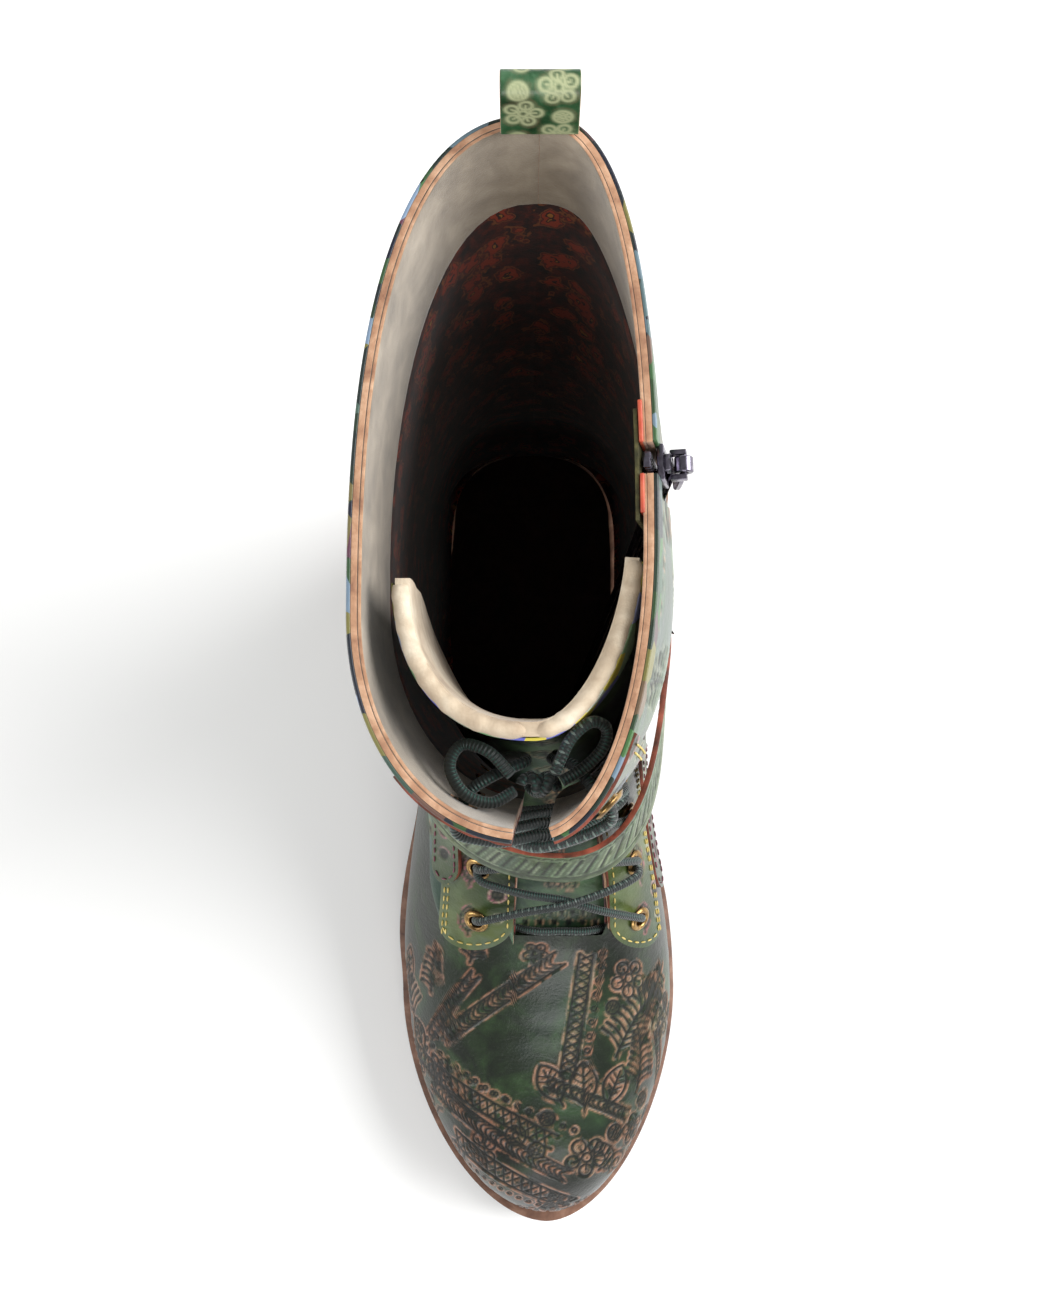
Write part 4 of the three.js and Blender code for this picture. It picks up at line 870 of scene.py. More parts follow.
# Vamp: one embossed piece of leather from toe to throat, flexed a little across the ball.
vamp = {
    "rows": 250, "columns": 300, "lineDeep": 0.36, "rubHigh": 0.12,
    "rear": 1.5, "sweep": 52, "sweepFrom": 0.36, "sweepOver": 0.2, "under": 9.0, "underFrom": 0.15,
    "creases": [(-14, 14, 30, 0.14, 3.4, 0.12), (10, 21, 34, 0.2, 4.0, -0.08), (-4, 31, 30, 0.14, 3.8, 0.05),
                (26, 12, 18, 0.12, 3.0, -0.2)],
    "stamps": [
        ("wheat", -20, 23, -38, 5.5, 0.3, 50.0), ("wheat", -37, 26, -52, 4, 0.1, 30.0),
        ("blossom", -8, 6, 0, 4.5, 0.2), ("lattice", -28, 58, 26, 5, 0.2, 64.0),
        ("wheat", -20, 70, 30, 5, 0.2, 60.0),
        ("beads", -22, 52.5, 28, 1.6, 0.4, 66.0, 2.0), ("beads", -36, 48, 26, 1.6, 0.1, 44.0, 1.0),
        ("lattice", -14, 86, 31, 6, 0.3, 52.0), ("beads", -17, 92, 31, 1.5, 0.2, 40.0),
        ("lattice", 6, 28, 96, 4.6, 0.5, 44.0), ("beads", 11.5, 26, 96, 1.8, 0.2, 40.0),
        ("wheat", 12, 58, 24, 4, 0.4, 32.0), ("fern", -57, 34, 160, 27, 0.35, 0.3, 8),
        ("fern", -46, 22, 175, 18, 0.3, -0.2, 6), ("leaf", -64, 22, 190, 16, 0.2),
        ("fern", 20, 44, 200, 30, 0.4, -0.3, 9),
        ("fern", 27, 30, 235, 24, 0.3, 0.2, 7), ("blossom", 24, 16, 0, 7.5, 0.3),
        ("blossom", 42, 34, 12, 7, 0.6),
        ("ring", 18, 26, 0, 2.4, 0.5), ("ring", 34, 19, 0, 2.6, 0.3), ("ring", 40, 23, 0, 2.4, 0.3),
        ("ring", 46, 26, 0, 2.7, 0.2), ("ring", 52, 31, 0, 3, 0.4), ("ring", 55, 38, 0, 3.2, 0.4),
        ("ring", 54, 46, 0, 3.2, 0.3), ("ring", 51, 54, 0, 3.1, 0.5), ("ring", 46, 61, 0, 2.9, 0.4),
        ("ring", 40, 66, 0, 2.7, 0.3), ("leaf", 60, 24, 190, 15, 0.2), ("leaf", 65, 40, 170, 15, 0.5),
        ("blossom", -42, 50, 10, 6, 0.2), ("scroll", -50, 62, 40, 5, 0.1),
        ("blossom", -56, 50, 0, 5.5, 0.4),
        ("scroll", -38, 78, 30, 5, 0.2), ("blossom", -24, 76, 20, 6.5, 0.1), ("ring", -12, 70, 0, 3.4, 0.3),
        ("ring", -5, 75, 0, 2.8, 0.2), ("leaf", -33, 92, 120, 14, 0.2), ("fern", -46, 84, 20, 16, 0.1, 0.3),
        ("leaf", 2, 58, 150, 14, 0.3), ("leaf", 10, 60, 175, 15, 0.3), ("leaf", 18, 60, 200, 14, 0.3),
        ("blossom", 12, 78, 0, 8, 0.4), ("fern", 30, 56, 190, 22, 0.2, 0.25, 7),
        ("scroll", 26, 82, 200, 5, 0.1),
        ("blossom", 38, 78, 15, 6.5, 0.2), ("leaf", 50, 72, 160, 13, 0.3), ("ring", 22, 70, 0, 2.8, 0.3),
        ("blossom", 31, 70, 20, 6, 0.2), ("leaf", 22, 84, 150, 13, 0.3),
        ("wheat", 44, 50, 70, 4, 0.2, 30.0),
        ("ring", 34, 60, 0, 2.6, 0.3), ("ring", -2, 64, 0, 2.4, 0.2), ("leaf", -50, 44, 150, 13, 0.2),
        ("ring", -58, 44, 0, 3, 0.3), ("beads", -44, 40, -50, 1.6, 0.2, 24.0),
        ("fern", -30, 10, 200, 14, 0.2, 0.3),
        ("blossom", -32, 92, 0, 5, 0.1), ("leaf", 42, 88, 130, 12, 0.2),
        ("beads", 22, 94, -24, 1.6, 0.2, 34.0, 2.0), ("lattice", 22, 100, -26, 6, 0.1, 34.0),
        ("blossom", 2, 98, 30, 6, 0.2), ("blossom", -8, 108, 0, 6, 0.1), ("ring", 8, 108, 0, 3, 0.3),
        ("fern", -28, 100, 150, 14, 0.1), ("leaf", 0, 112, 180, 12, 0.2), ("blossom", 36, 92, 0, 5, 0.1),
        ("scroll", -62, 70, 60, 5, 0.3), ("fern", 62, 58, 170, 20, 0.3, -0.2),
        ("fern", -66, 56, 190, 20, 0.3, 0.2),
    ],
}


def creaseField(across, along, creases):
    field = np.zeros_like(across)
    for x, y, reach, deep, wide, slope in creases:
        line = (along - y - slope * (across - x)) / wide
        ends = np.exp(-(((across - x) / reach) ** 4))
        field += deep * ends * (0.45 * np.exp(-((np.abs(line) - 1.7) / 0.8) ** 2) - np.exp(-line**2))
    return field


# The vamp's rear edge sweeps back toward the heel at both sides, under the quarters.
def rearOfVamp(sideShare):
    under = vamp["under"] * ease((sideShare - vamp["underFrom"]) / 0.03)
    return vamp["rear"] + under + vamp["sweep"] * ease((sideShare - vamp["sweepFrom"]) / vamp["sweepOver"])


def vampPiece():
    share = np.linspace(0, 1, vamp["columns"] + 1)
    rear = rearOfVamp(np.abs(2 * share - 1))
    length = mix(crestAt[0], rear[None, :], np.linspace(0, 1, vamp["rows"] + 1)[:, None])
    u = stationAt(length)
    lateral, medial = mix(roundAt(u, -1.0), 0, 2 * share), mix(0, roundAt(u, 1.0), 2 * share - 1)
    across = np.where(share < 0.5, lateral, medial)
    v = vAtEach(u, across)
    along = -length
    line, rub, tone = press(across, along, stampsFrom(vamp["stamps"]))
    fade = ease((1 - np.abs(2 * share - 1)) / 0.08)[None, :]
    line, rub = line * fade, rub * fade
    # Toe mark: burnish toward the toe tip, plus painted shade that darkens the steep lower sides beyond 45 mm
    # from the crest.
    toe = 0.75 * ease((along - 62) / 45) + 0.35 * ease((np.abs(across) - 45) / 30)
    rise = creaseField(across, along, vamp["creases"]) * ease((along + 1) / 8)
    rise = rise - vamp["lineDeep"] * line + vamp["rubHigh"] * rub
    marks = {"line": line, "rub": rub, "accent": tone, "toe": np.clip(toe, 0, 1)}
    return sheetPiece("vamp", facing(u, v, rise), [vampLeather], marks=marks)


fasten(vampPiece(), "green_leather", "upper")
print("vamp made")

# Quarters: leather from the vamp back to the heel and up to the collar, open at throat and zip.
quarter = {
    "rows": 180, "thickness": 1.3, "front": -6.0, "lap": 4.0, "sideLap": 9.0, "overlap": 1.1,
    "lineDeep": 0.28,
    "slot": 3.1, "seam": 0.12,
    "stamps": [
        ("fern", -46, 30, -20, 26, 0.3), ("blossom", -52, 68, 0, 10, 0.6),
        ("beads", -50, 84, 0, 1.8, 0.2, 40.0),
        ("scroll", -40, 100, 60, 7, 0.4), ("leaf", -62, 98, 10, 20, 0.8), ("ring", -74, 92, 0, 5.5, 0.1),
        ("lattice", -56, 126, 0, 8, 0.5, 44.0), ("blossom", -50, 146, 20, 9, 0.25),
        ("fern", -70, 140, 15, 26, 0.7),
        ("scroll", -86, 128, 100, 7, 0.3), ("ring", -92, 150, 0, 6, 0.55), ("fern", -46, 162, 0, 24, 0.9),
        ("beads", -66, 182, 10, 1.8, 0.35, 44.0), ("blossom", -84, 174, 0, 9, 0.15),
        ("leaf", -104, 160, -12, 22, 0.6),
        ("ring", -60, 74, 0, 3, 0.5), ("scroll", -104, 120, 10, 7, 0.2), ("blossom", -96, 96, 0, 9, 0.45),
        ("fern", -112, 186, 180, 26, 0.75), ("lattice", -98, 70, 24, 8, 0.3, 36.0),
        ("leaf", -84, 56, -40, 18, 0.1),
    ],
}


def halfSlot(u):
    return quarter["seam"] + quarter["slot"] * ease((np.interp(u, zipU, zipUp) - 66) / 3.5)


def zipLimits(u):
    return zipLine(u, -halfSlot(u)), zipLine(u, halfSlot(u))


quarterFront = float(stationAt(quarter["front"]))
backFrom = float(zipU[np.argmax(zipV < 0.985)])


def lateralSpan(u, t):
    return mix(-1.0, throatEdge(u, -1), t)


def medialSpan(u, t):
    return mix(throatEdge(u, 1), zipLimits(u)[0], t)


def heelSpan(u, t):
    return mix(np.minimum(0.999, zipLimits(u)[1]), 1.0, t)


spans = {"lateral": (quarterFront, lateralSpan, 130), "medial": (quarterFront, medialSpan, 110),
         "heel": (backFrom, heelSpan, 48)}


# Station of each column where the leather's face stands at a height.
def stationAtUp(span, t, up):
    near, far = np.full(t.shape, 2.0), np.full(t.shape, float(topStation))
    for _ in range(24):
        half = (near + far) / 2
        past = facePoint(half, span(half, t))[..., 2] > up
        near, far = np.where(past, near, half), np.where(past, half, far)
    return (near + far) / 2


# Station of each column where a quarter starts: a little ahead of the vamp's rear edge.
def quarterStart(name, t):
    start, span, _ = spans[name]
    u = np.full(t.shape, start)
    if name == "heel":
        return u
    for _ in range(5):
        v = span(u, t)
        share = np.abs(roundAt(u, v)) / np.abs(roundAt(u, np.sign(v)))
        u = stationAt(rearOfVamp(share) - quarter["lap"] - quarter["sideLap"] * ease((share - 0.3) / 0.12))
    return u


def spanGrid(name, rows=quarter["rows"], columns=None, above=None, below=None):
    _, span, count = spans[name]
    t = np.linspace(0, 1, (columns or count) + 1)
    low = quarterStart(name, t)
    if above is not None:
        low = np.maximum(low, stationAtUp(span, t, above))
    high = np.full(t.shape, float(topStation)) if below is None else stationAtUp(span, t, below)
    u = mix(low[None, :], high[None, :], np.linspace(0, 1, rows + 1)[:, None])
    return u, span(u, np.repeat(t[None, :], rows + 1, 0))


eyeletPlaces = [
    (pair, side, float(stationAt(boot["firstEyelet"] + pair * boot["eyeletPitch"])))
    for pair in range(boot["eyeletPairs"]) for side in (-1, 1)
]


def eyeletAcross(pair, side):
    return side * (gapHalf(boot["firstEyelet"] + pair * boot["eyeletPitch"]) + boot["eyeletSetback"])


eyeletUV = [
    (u, float(vAt(np.array([u]), np.array([eyeletAcross(pair, side)]))[0])) for pair, side, u in eyeletPlaces
]
eyeletSpots = np.array([facePoint(u, v) for u, v in eyeletUV])


# Punches round holes for the eyelets: faces near an eyelet's axis are left out.
def punch(piece, radius=2.5):
    made = bmesh.new()
    made.from_mesh(piece.data)
    spots = [Vector(p) for p in toFrame(eyeletSpots)]
    normals = [Vector(faceNormal(u, v)) for u, v in eyeletUV]
    gone = []
    for face in made.faces:
        middle = face.calc_center_median()
        for spot, normal in zip(spots, normals):
            away = middle - spot
            if away.length < 0.006 and (away - normal * away.dot(normal)).length < radius * mm:
                gone.append(face)
                break
    bmesh.ops.delete(made, geom=gone, context="FACES")
    made.to_mesh(piece.data)
    made.free()


def walled(piece, thickness, rim=0.25):
    count = len(piece.data.materials)
    wall = piece.modifiers.new("wall", "SOLIDIFY")
    wall.thickness = thickness * mm
    wall.offset = -1
    wall.material_offset = min(1, count - 1)
    wall.material_offset_rim = count - 1
    if rim:
        edge = piece.modifiers.new("rim", "BEVEL")
        edge.width = rim * mm
        edge.segments = 2
        edge.limit_method = "ANGLE"
        edge.angle_limit = math.radians(50)
        edge.material = -1
    applyModifiers(piece)
    return piece


def quarterPiece(name, region, mirrored):
    u, v = spanGrid(region)
    across, along = roundAt(u, v), lengthAt(u)
    strokes = stampsFrom(quarter["stamps"])
    if mirrored:
        strokes = [(run * [-1, 1], width, tone) for run, width, tone in strokes]
    line, rub, tone = press(across, along, strokes)
    rise = quarter["overlap"] * (1 - ease((along - along[:1]) / 14)) * (region != "heel")
    rise = rise - quarter["lineDeep"] * line + 0.1 * rub
    marks = {"line": line, "rub": rub, "accent": tone, "toe": np.zeros_like(line)}
    piece = sheetPiece(name, facing(u, v, rise), [quarterLeather, suede, rawEdge], marks=marks)
    punch(piece)
    return walled(piece, quarter["thickness"])


for name, region, mirrored in (("quarter_lateral", "lateral", False), ("quarter_medial", "medial", True),
                               ("quarter_heel", "heel", True)):
    fasten(quarterPiece(name, region, mirrored), "green_leather", "upper")
print("quarters made")

# Linings: suede round the collar, printed cloth below it, on the inside of the quarters.
lining = {"offset": -1.38, "thickness": 0.8, "bandUp": 202, "bandBack": 228, "columns": 44}


# Lower edge of the suede band: level along the sides, higher round the back.
def bandEdge(name):
    t = np.linspace(0, 1, lining["columns"] + 1)
    back = {"lateral": 1 - ease(t / 0.5), "medial": 0.3 * ease((t - 0.5) / 0.5),
            "heel": mix(0.3, 1, ease(t / 0.8))}
    return mix(lining["bandUp"], lining["bandBack"], back[name])


for region in spans:
    for part, above, below, skins, rows in (
        ("collar_lining_", bandEdge(region), None, [suede, suede, rawEdge], 24),
        ("printed_lining_", None, bandEdge(region), [liningPrintAndShade], 60),
    ):
        u, v = spanGrid(region, rows, lining["columns"], above, below)
        piece = sheetPiece(part + region, facing(u, v, lining["offset"]), skins)
        punch(piece)
        fasten(walled(piece, lining["thickness"], 0.2), "suede", "upper")
u, v = np.meshgrid(np.linspace(0.1, float(stationAt(62.0)), 61), np.linspace(-1, 1, 71), indexing="ij")
frontLining = sheetPiece("vamp_lining", facing(u, v, np.full(u.shape, lining["offset"])), [liningPrintAndShade])


# Drops the faces of a piece whose place (forward and aside, in millimetres) lies in the throat.
def openThroat(piece):
    made = bmesh.new()
    made.from_mesh(piece.data)
    crown = float(tableAt(sections[:, 9], throatStation))
    gone = []
    for face in made.faces:
        middle = face.calc_center_median() / mm
        forward, aside = -(middle.y - originShift[1]), middle.x - originShift[0] - crown
        if forward < boot["throatAt"] + 4 and middle.z > 60 and abs(aside) < boot["gapAtThroat"] / 2 + 2:
            gone.append(face)
    bmesh.ops.delete(made, geom=gone, context="FACES")
    made.to_mesh(piece.data)
    made.free()


openThroat(frontLining)
fasten(walled(frontLining, lining["thickness"], 0), "suede", "upper")
# Painted strip round the collar's outside, in the colours of the shaft's own tooling.
trim = {"tall": 4.5, "offset": 0.95, "thickness": 0.95}
for region in spans:
    u, v = spanGrid(region, 6, None, np.array(boot["shaftHeight"] - trim["tall"]), None)
    piece = sheetPiece("collar_trim_" + region, facing(u, v, trim["offset"]), [paintedEdge])
    fasten(walled(piece, trim["thickness"], 0.3), "green_leather")
print("linings made")

# Eyestays: the facings that carry the eyelets, with a rounded lobe over the vamp.
eyestay = {
    "lobeReach": 4.0, "lobeRound": 12.0, "tip": 0.04, "top": 1.5, "high": 1.6, "thickness": 1.3, "rows": 280,
    "columns": 30,
    "stamps": [("leaf", 0, 4 + 21 * k, 0, 11, 0.2 + 0.1 * k) for k in range(9)]
    + [("ring", 9.6, 20 + 21 * k, 0, 1.9, 0.5) for k in range(9)]
    + [("ring", 9.6, 10 + 21 * k, 0, 1.1, 0.8) for k in range(9)],
}


def strip(name, lengths, fromOf, toOf, offset, columns, skins, stamps=(), stampMiddle=None, punched=False,
          thickness=1.3, rim=0.35):
    u = stationAt(lengths)
    across = mix(fromOf(lengths)[:, None], toOf(lengths)[:, None], np.linspace(0, 1, columns + 1)[None, :])
    v = vAt(u, across)
    over = np.maximum(0, lengths - crestLength)[:, None]
    along = np.repeat(lengths[:, None], columns + 1, 1)
    middle = stampMiddle(lengths)[:, None] if stampMiddle else 0
    line, rub, tone = press(across - middle, along, stampsFrom(stamps))
    high = offset(along) if callable(offset) else offset
    points = facing(np.repeat(u[:, None], columns + 1, 1), v, high - 0.25 * line + 0.08 * rub)
    points[..., 2] += over
    marks = {"line": line, "rub": rub, "accent": tone, "toe": np.zeros_like(line)}
    piece = sheetPiece(name, points, skins, marks=marks)
    if punched:
        punch(piece)
    return walled(piece, thickness, rim)


def lobeHalf(lengths):
    round_ = np.clip((eyestay["lobeRound"] - eyestay["lobeReach"] - lengths) / eyestay["lobeRound"], 0, 1)
    return boot["eyestayWidth"] / 2 * np.maximum(eyestay["tip"], np.sqrt(1 - round_**2))


for name, side in (("lateral", -1), ("medial", 1)):
    turns = np.linspace(0, math.pi / 2, 40)
    lobe = eyestay["lobeRound"] * (1 - np.cos(turns)) - eyestay["lobeReach"]
    lengths = np.concatenate([lobe, np.linspace(lobe[-1], crestLength - eyestay["top"], eyestay["rows"])[1:]])
    centre = side * (gapHalf(lengths) + boot["eyestayWidth"] / 2)
    half = lobeHalf(lengths)
    piece = strip(
        "eyestay_" + name, lengths, lambda _: centre - half, lambda _: centre + half, eyestay["high"],
        eyestay["columns"], [panelLeather, suede, brownEdge], eyestay["stamps"],
        lambda _: centre + side * 1.5, True, eyestay["thickness"],
    )
    fasten(piece, "grey_green_leather", "eyestay_" + name)
print("eyestays made")

# Tongue: a wide padded leaf under the facings, leaning back to a soft rolled top.
tongue = {
    "under": 10, "belowCollar": 3, "halfLow": 24, "halfTop": 62, "lean": 17, "armShare": 0.3, "inset": 5.0,
    "longer": 0.09,
    "high": -3.4, "thickness": 3.0, "rim": 0.9, "rows": 150, "columns": 80,
    "stamps": [("beads", 0, 4, 0, 1.6, 0.5, 24.0), ("beads", 0, 8, 0, 1.2, 0.9, 22.0),
               ("blossom", 0, 24, 0, 7, 0.4)]
    + [("leaf", 0, 36 + 24 * k, 0, 14, 0.3 + 0.1 * k) for k in range(6)],
}


def tonguePoints(lengths, shares, offset):
    total = crestLength - tongue["belowCollar"]
    rise = ease(lengths / total)
    half = mix(tongue["halfLow"], tongue["halfTop"], rise)[:, None]
    lateral = ease(-shares[None, :] / 0.9) * (rise**3)[:, None]
    across = half * shares[None, :] * (1 + tongue["longer"] * lateral)
    u = stationAt(lengths)
    lean = (tongue["lean"] * rise**2)[:, None] * mix(1, tongue["armShare"], shares[None, :] ** 2)
    points = facing(np.repeat(u[:, None], len(shares), 1), vAt(u, across), offset)
    points[..., 1] += lean
    points[..., 0] += tongue["inset"] * lateral
    return points, across


lengths = np.linspace(-tongue["under"], crestLength - tongue["belowCollar"], tongue["rows"] + 1)
shares = np.linspace(-1, 1, tongue["columns"] + 1)
_, across = tonguePoints(lengths, shares, 0.0)
along = np.repeat(lengths[:, None], len(shares), 1)
line, rub, tone = press(across, along, stampsFrom(tongue["stamps"]))
points, _ = tonguePoints(lengths, shares, tongue["high"] - 0.2 * line)
marks = {"line": line, "rub": rub, "accent": tone, "toe": np.zeros_like(line)}
skins = [quarterLeather, paddedEdge, paddedEdge]
piece = sheetPiece("tongue", points, skins, tongue["thickness"], tongue["rim"], marks)
fasten(piece, "green_leather", "tongue")
print("tongue made")

# Strap over the instep and round the back, its ends either side of the zip.
strap = {
    "overLace": 6.0, "atEnds": 0.6, "zipMargin": 7, "squeeze": 0.22, "backDrop": 6, "thickness": 1.6,
    "columns": 380, "rows": 20, "slash": 3.4,
}


def strapStation(v, rise):
    near, far = np.full(v.shape, footStations - 3.0), np.full(v.shape, float(topStation))
    front = 0.4925 * boot["soleLength"]
    for _ in range(24):
        half = (near + far) / 2
        point = facePoint(half, v)
        past = point[..., 2] > boot["strapUp"] + rise - strap["backDrop"] * (1 + point[..., 1] / front)
        near, far = np.where(past, near, half), np.where(past, half, far)
    return (near + far) / 2


def strapEnd(forward):
    near, far = 0.0, 1.0
    for _ in range(24):
        half = (near + far) / 2
        there = -facePoint(strapStation(np.array([half]), 0.0), half)[0, 1]
        near, far = (half, far) if there > forward else (near, half)
    return (near + far) / 2


def strapPiece():
    start = strapEnd(boot["zipAt"] + strap["zipMargin"])
    end = strapEnd(boot["zipAt"] - strap["zipMargin"]) - 2
    v = np.linspace(end, start, strap["columns"] + 1)
    v = np.where(v < -1, v + 2, v)
    frontness = 1 - ease((np.abs(v) - 0.15) / 0.3)
    half = boot["strapWidth"] / 2 * (1 - strap["squeeze"] * frontness)
    rise = np.linspace(-1, 1, strap["rows"] + 1)[:, None] * half[None, :]
    vs = np.repeat(v[None, :], strap["rows"] + 1, 0)
    u = strapStation(vs, rise)
    rest = mix(strap["overLace"], strap["atEnds"], ease((np.abs(vs) - 0.46) / 0.3)) + strap["thickness"]
    middle = facePoint(u[strap["rows"] // 2], v)
    run = np.concatenate([[0], np.cumsum(np.minimum(4, np.linalg.norm(np.diff(middle, axis=0), axis=1)))])
    along = np.repeat(run[None, :], strap["rows"] + 1, 0)
    strokes = []
    for k, x in enumerate(np.arange(4, run[-1] - 4, strap["slash"])):
        slash = np.array([[x - 1.4, -3.6], [x + 1.4, 3.6]])
        strokes.append((slash, 0.42, (k * 0.37) % 1))
        strokes.append((arcOf(1.3, 20, 160, 7, (x, 4.6)), 0.35, 0.4))
    strokes.append((np.array([[2, -5.2], [run[-1] - 2, -5.2]]), 0.4, 0.6))
    line, rub, tone = press(along, rise, strokes)
    marks = {"line": line, "rub": rub, "accent": tone, "toe": np.zeros_like(line)}
    piece = sheetPiece("strap", facing(u, vs, rest - 0.25 * line + 0.08 * rub),
                       [strapLeather, brownEdge, brownEdge], marks=marks)
    return walled(piece, strap["thickness"], 0.4)


fasten(strapPiece(), "grey_green_leather", "strap")

# Side tabs, run forward from under the strap to a rounded end.
tab = {"width": 12, "thickness": 1.5, "length": 46, "tip": 0.05, "columns": 18}
tabRows = {"lateral": (-1, 24, 38, 1.9), "medial": (1, 20, 49, 0.3)}


def tabHalf(lengths, start, inset=0.0):
    radius = tab["width"] / 2
    left = np.clip((start + radius - lengths) / (radius - inset), 0, 1)
    return (radius - inset) * np.maximum(tab["tip"], np.sqrt(1 - left**2))


for name, (side, start, middle, low) in tabRows.items():
    turns = np.linspace(0, math.pi / 2, 24)
    lengths = np.concatenate([start + tab["width"] / 2 * (1 - np.cos(turns)),
                              np.linspace(start + tab["width"] / 2, start + tab["length"], 90)[1:]])
    half = tabHalf(lengths, start)
    stamps = [("ring", 0, start + 10 + 9 * k, 0, 1.5, 0.4) for k in range(4)]
    piece = strip("tab_" + name, lengths, lambda _: side * middle - half, lambda _: side * middle + half,
                  low + tab["thickness"], tab["columns"], [panelLeather, brownEdge, brownEdge], stamps,
                  lambda l: np.full(l.shape, float(side * middle)), thickness=tab["thickness"])
    fasten(piece, "grey_green_leather", "tab_" + name)
print("strap and tabs made")

# Sole: outsole, welt and insole follow one outline; the heel is stacked leather on a lift.
sole = {"rows": 150, "columns": 14}


def platePiece(name, margin, floorOf, thickness, skins, rim):
    turns = np.linspace(0, math.pi, sole["rows"] + 1)
    forward = mix(margin, boot["soleLength"] - margin, (1 - np.cos(turns)) / 2)
    left, right = soleEdge(forward, -1, margin), soleEdge(forward, 1, margin)
    share = np.linspace(0, 1, sole["columns"] + 1)[None, :]
    x = mix(left[:, None], right[:, None], share)
    y = np.repeat(-forward[:, None], sole["columns"] + 1, 1)
    z = np.repeat((floorOf(forward) + thickness)[:, None], sole["columns"] + 1, 1)
    piece = sheetPiece(name, np.stack([x, y, z], -1), skins, flip=True)
    return mend(walled(piece, thickness, rim), crease=50)


fasten(platePiece("outsole", 0.7, underside, boot["outsole"], [heelRubber], 0.8), "rubber", "outsole")
fasten(platePiece("welt", 0.0, weltFloor, boot["welt"], [weltLeather], 0.8), "welt", "welt")
insoleMargin = boot["weltMargin"] + 1.2
sock = platePiece("insole", insoleMargin, lambda f: seat(f) + boot["seatGap"], boot["insole"], [insoleFeltPaintedShade], 0.6)
fasten(sock, "suede", "insole")

heel = {"inset": 1.6, "taper": 2.5, "lift": 6.0, "layers": 9, "groove": 0.22, "arc": 40}


def heelOutline(inset):
    breast = boot["heelLength"] - inset
    turns = np.linspace(0, math.pi / 2, heel["arc"])
    forward = mix(inset, breast, 1 - np.cos(turns))
    right = np.stack([soleEdge(forward, 1, inset), forward], -1)
    left = np.stack([soleEdge(forward, -1, inset), forward], -1)
    return np.concatenate([right, left[::-1][:-1]])


# Rings of the heel's outline bridged into a wall, then closed at both ends.
def stackOf(made, levels):
    loops = []
    for inset, heightOf in levels:
        ring = heelOutline(inset)
        points = [toFrame((x, -forward, heightOf(forward))) for x, forward in ring]
        verts = [made.verts.new(point) for point in points]
        loops.append([made.edges.new((verts[i], verts[(i + 1) % len(verts)])) for i in range(len(verts))])
    for low, high in zip(loops, loops[1:]):
        bmesh.ops.bridge_loops(made, edges=low + high)
    for loop in (loops[0], loops[-1]):
        bmesh.ops.contextual_create(made, geom=loop)
    bmesh.ops.recalc_face_normals(made, faces=made.faces)


def heelLevels():
    levels = []
    for layer in range(heel["layers"]):
        for share, sunk in ((0.04, heel["groove"]), (0.14, 0), (0.86, 0), (0.96, heel["groove"])):
            part = (layer + share) / heel["layers"]
            inset = heel["inset"] + heel["taper"] * (1 - part) ** 1.4 + sunk
            levels.append((inset, lambda f, part=part: mix(heel["lift"] + 0.3, underside(f) - 0.3, part)))
    return levels


block = joinedPiece("heel_block", lambda made: stackOf(made, heelLevels()), [heelLeather], 30)
fasten(block, "stacked_heel", "heel_block")
liftInset = heel["inset"] + heel["taper"]
liftLevels = [
    (liftInset + 0.5, lambda f: 0.0), (liftInset, lambda f: 0.5), (liftInset, lambda f: heel["lift"] - 0.5),
    (liftInset + 0.4, lambda f: heel["lift"]),
]
lift = joinedPiece("heel_lift", lambda made: stackOf(made, liftLevels), [heelRubber], 30)
fasten(lift, "rubber", "heel_lift")
print("sole and heel made")

# Eyelets: pressed brass rings, each spun from one profile and set on the leather's normal.
eyelet = {
    "profile": [(2.1, -2.2), (2.1, 2.35), (2.35, 2.8), (2.9, 2.98), (3.5, 2.85), (4.0, 2.45), (4.1, 2.15),
                (2.8, 2.1), (2.7, -2.2)],
    "sides": 28,
}


def eyeletRings(made):
    for u, v in eyeletUV:
        verts = [made.verts.new((radius * mm, 0, up * mm)) for radius, up in eyelet["profile"]]
        edges = [made.edges.new(pair) for pair in zip(verts, verts[1:] + verts[:1])]
        spun = bmesh.ops.spin(made, geom=verts + edges, cent=(0, 0, 0), axis=(0, 0, 1), dvec=(0, 0, 0),
                              angle=2 * math.pi, steps=eyelet["sides"], use_merge=True)
        ring = {item for item in spun["geom_last"] if isinstance(item, bmesh.types.BMVert)} | set(verts)
        grown = set(ring)
        for vert in list(ring):
            grown |= {edge.other_vert(vert) for edge in vert.link_edges}
        front = list(grown)
        while front:
            nexts = {e.other_vert(x) for x in front for e in x.link_edges} - grown
            grown |= nexts
            front = list(nexts)
        normal = Vector(faceNormal(u, v))
        turn = Vector((0, 0, 1)).rotation_difference(normal).to_matrix().to_4x4()
        place = Matrix.Translation(toFrame(facePoint(u, v)))
        bmesh.ops.transform(made, matrix=place @ turn, verts=list(grown))
    bmesh.ops.remove_doubles(made, verts=made.verts, dist=0.001 * mm)
    bmesh.ops.recalc_face_normals(made, faces=made.faces)


rings = joinedPiece("eyelets", eyeletRings, [brass], 60)
fasten(rings, "brass", *[f"eyelet_{side}_{i}" for side in ("lateral", "medial") for i in range(1, 10)])

# Lace: round cord through the eyelets, crossed in front of the throat.
lace = {"radius": 1.25, "sides": 12, "spacing": 0.7, "rest": 4.9, "hole": 0.3, "aside": 0.95, "cross": 1.25}


def smoothRun(points, spacing):
    points = np.asarray(points, float)
    place = np.linspace(0, len(points) - 1, 40 * (len(points) - 1) + 1)
    dense = np.stack([tableAt(points[:, k], place) for k in range(3)], -1)
    run = np.concatenate([[0], np.cumsum(np.linalg.norm(np.diff(dense, axis=0), axis=1))])
    wanted = np.linspace(0, run[-1], max(4, int(run[-1] / spacing)) + 1)
    return np.stack([np.interp(wanted, run, dense[:, k]) for k in range(3)], -1), run[-1]


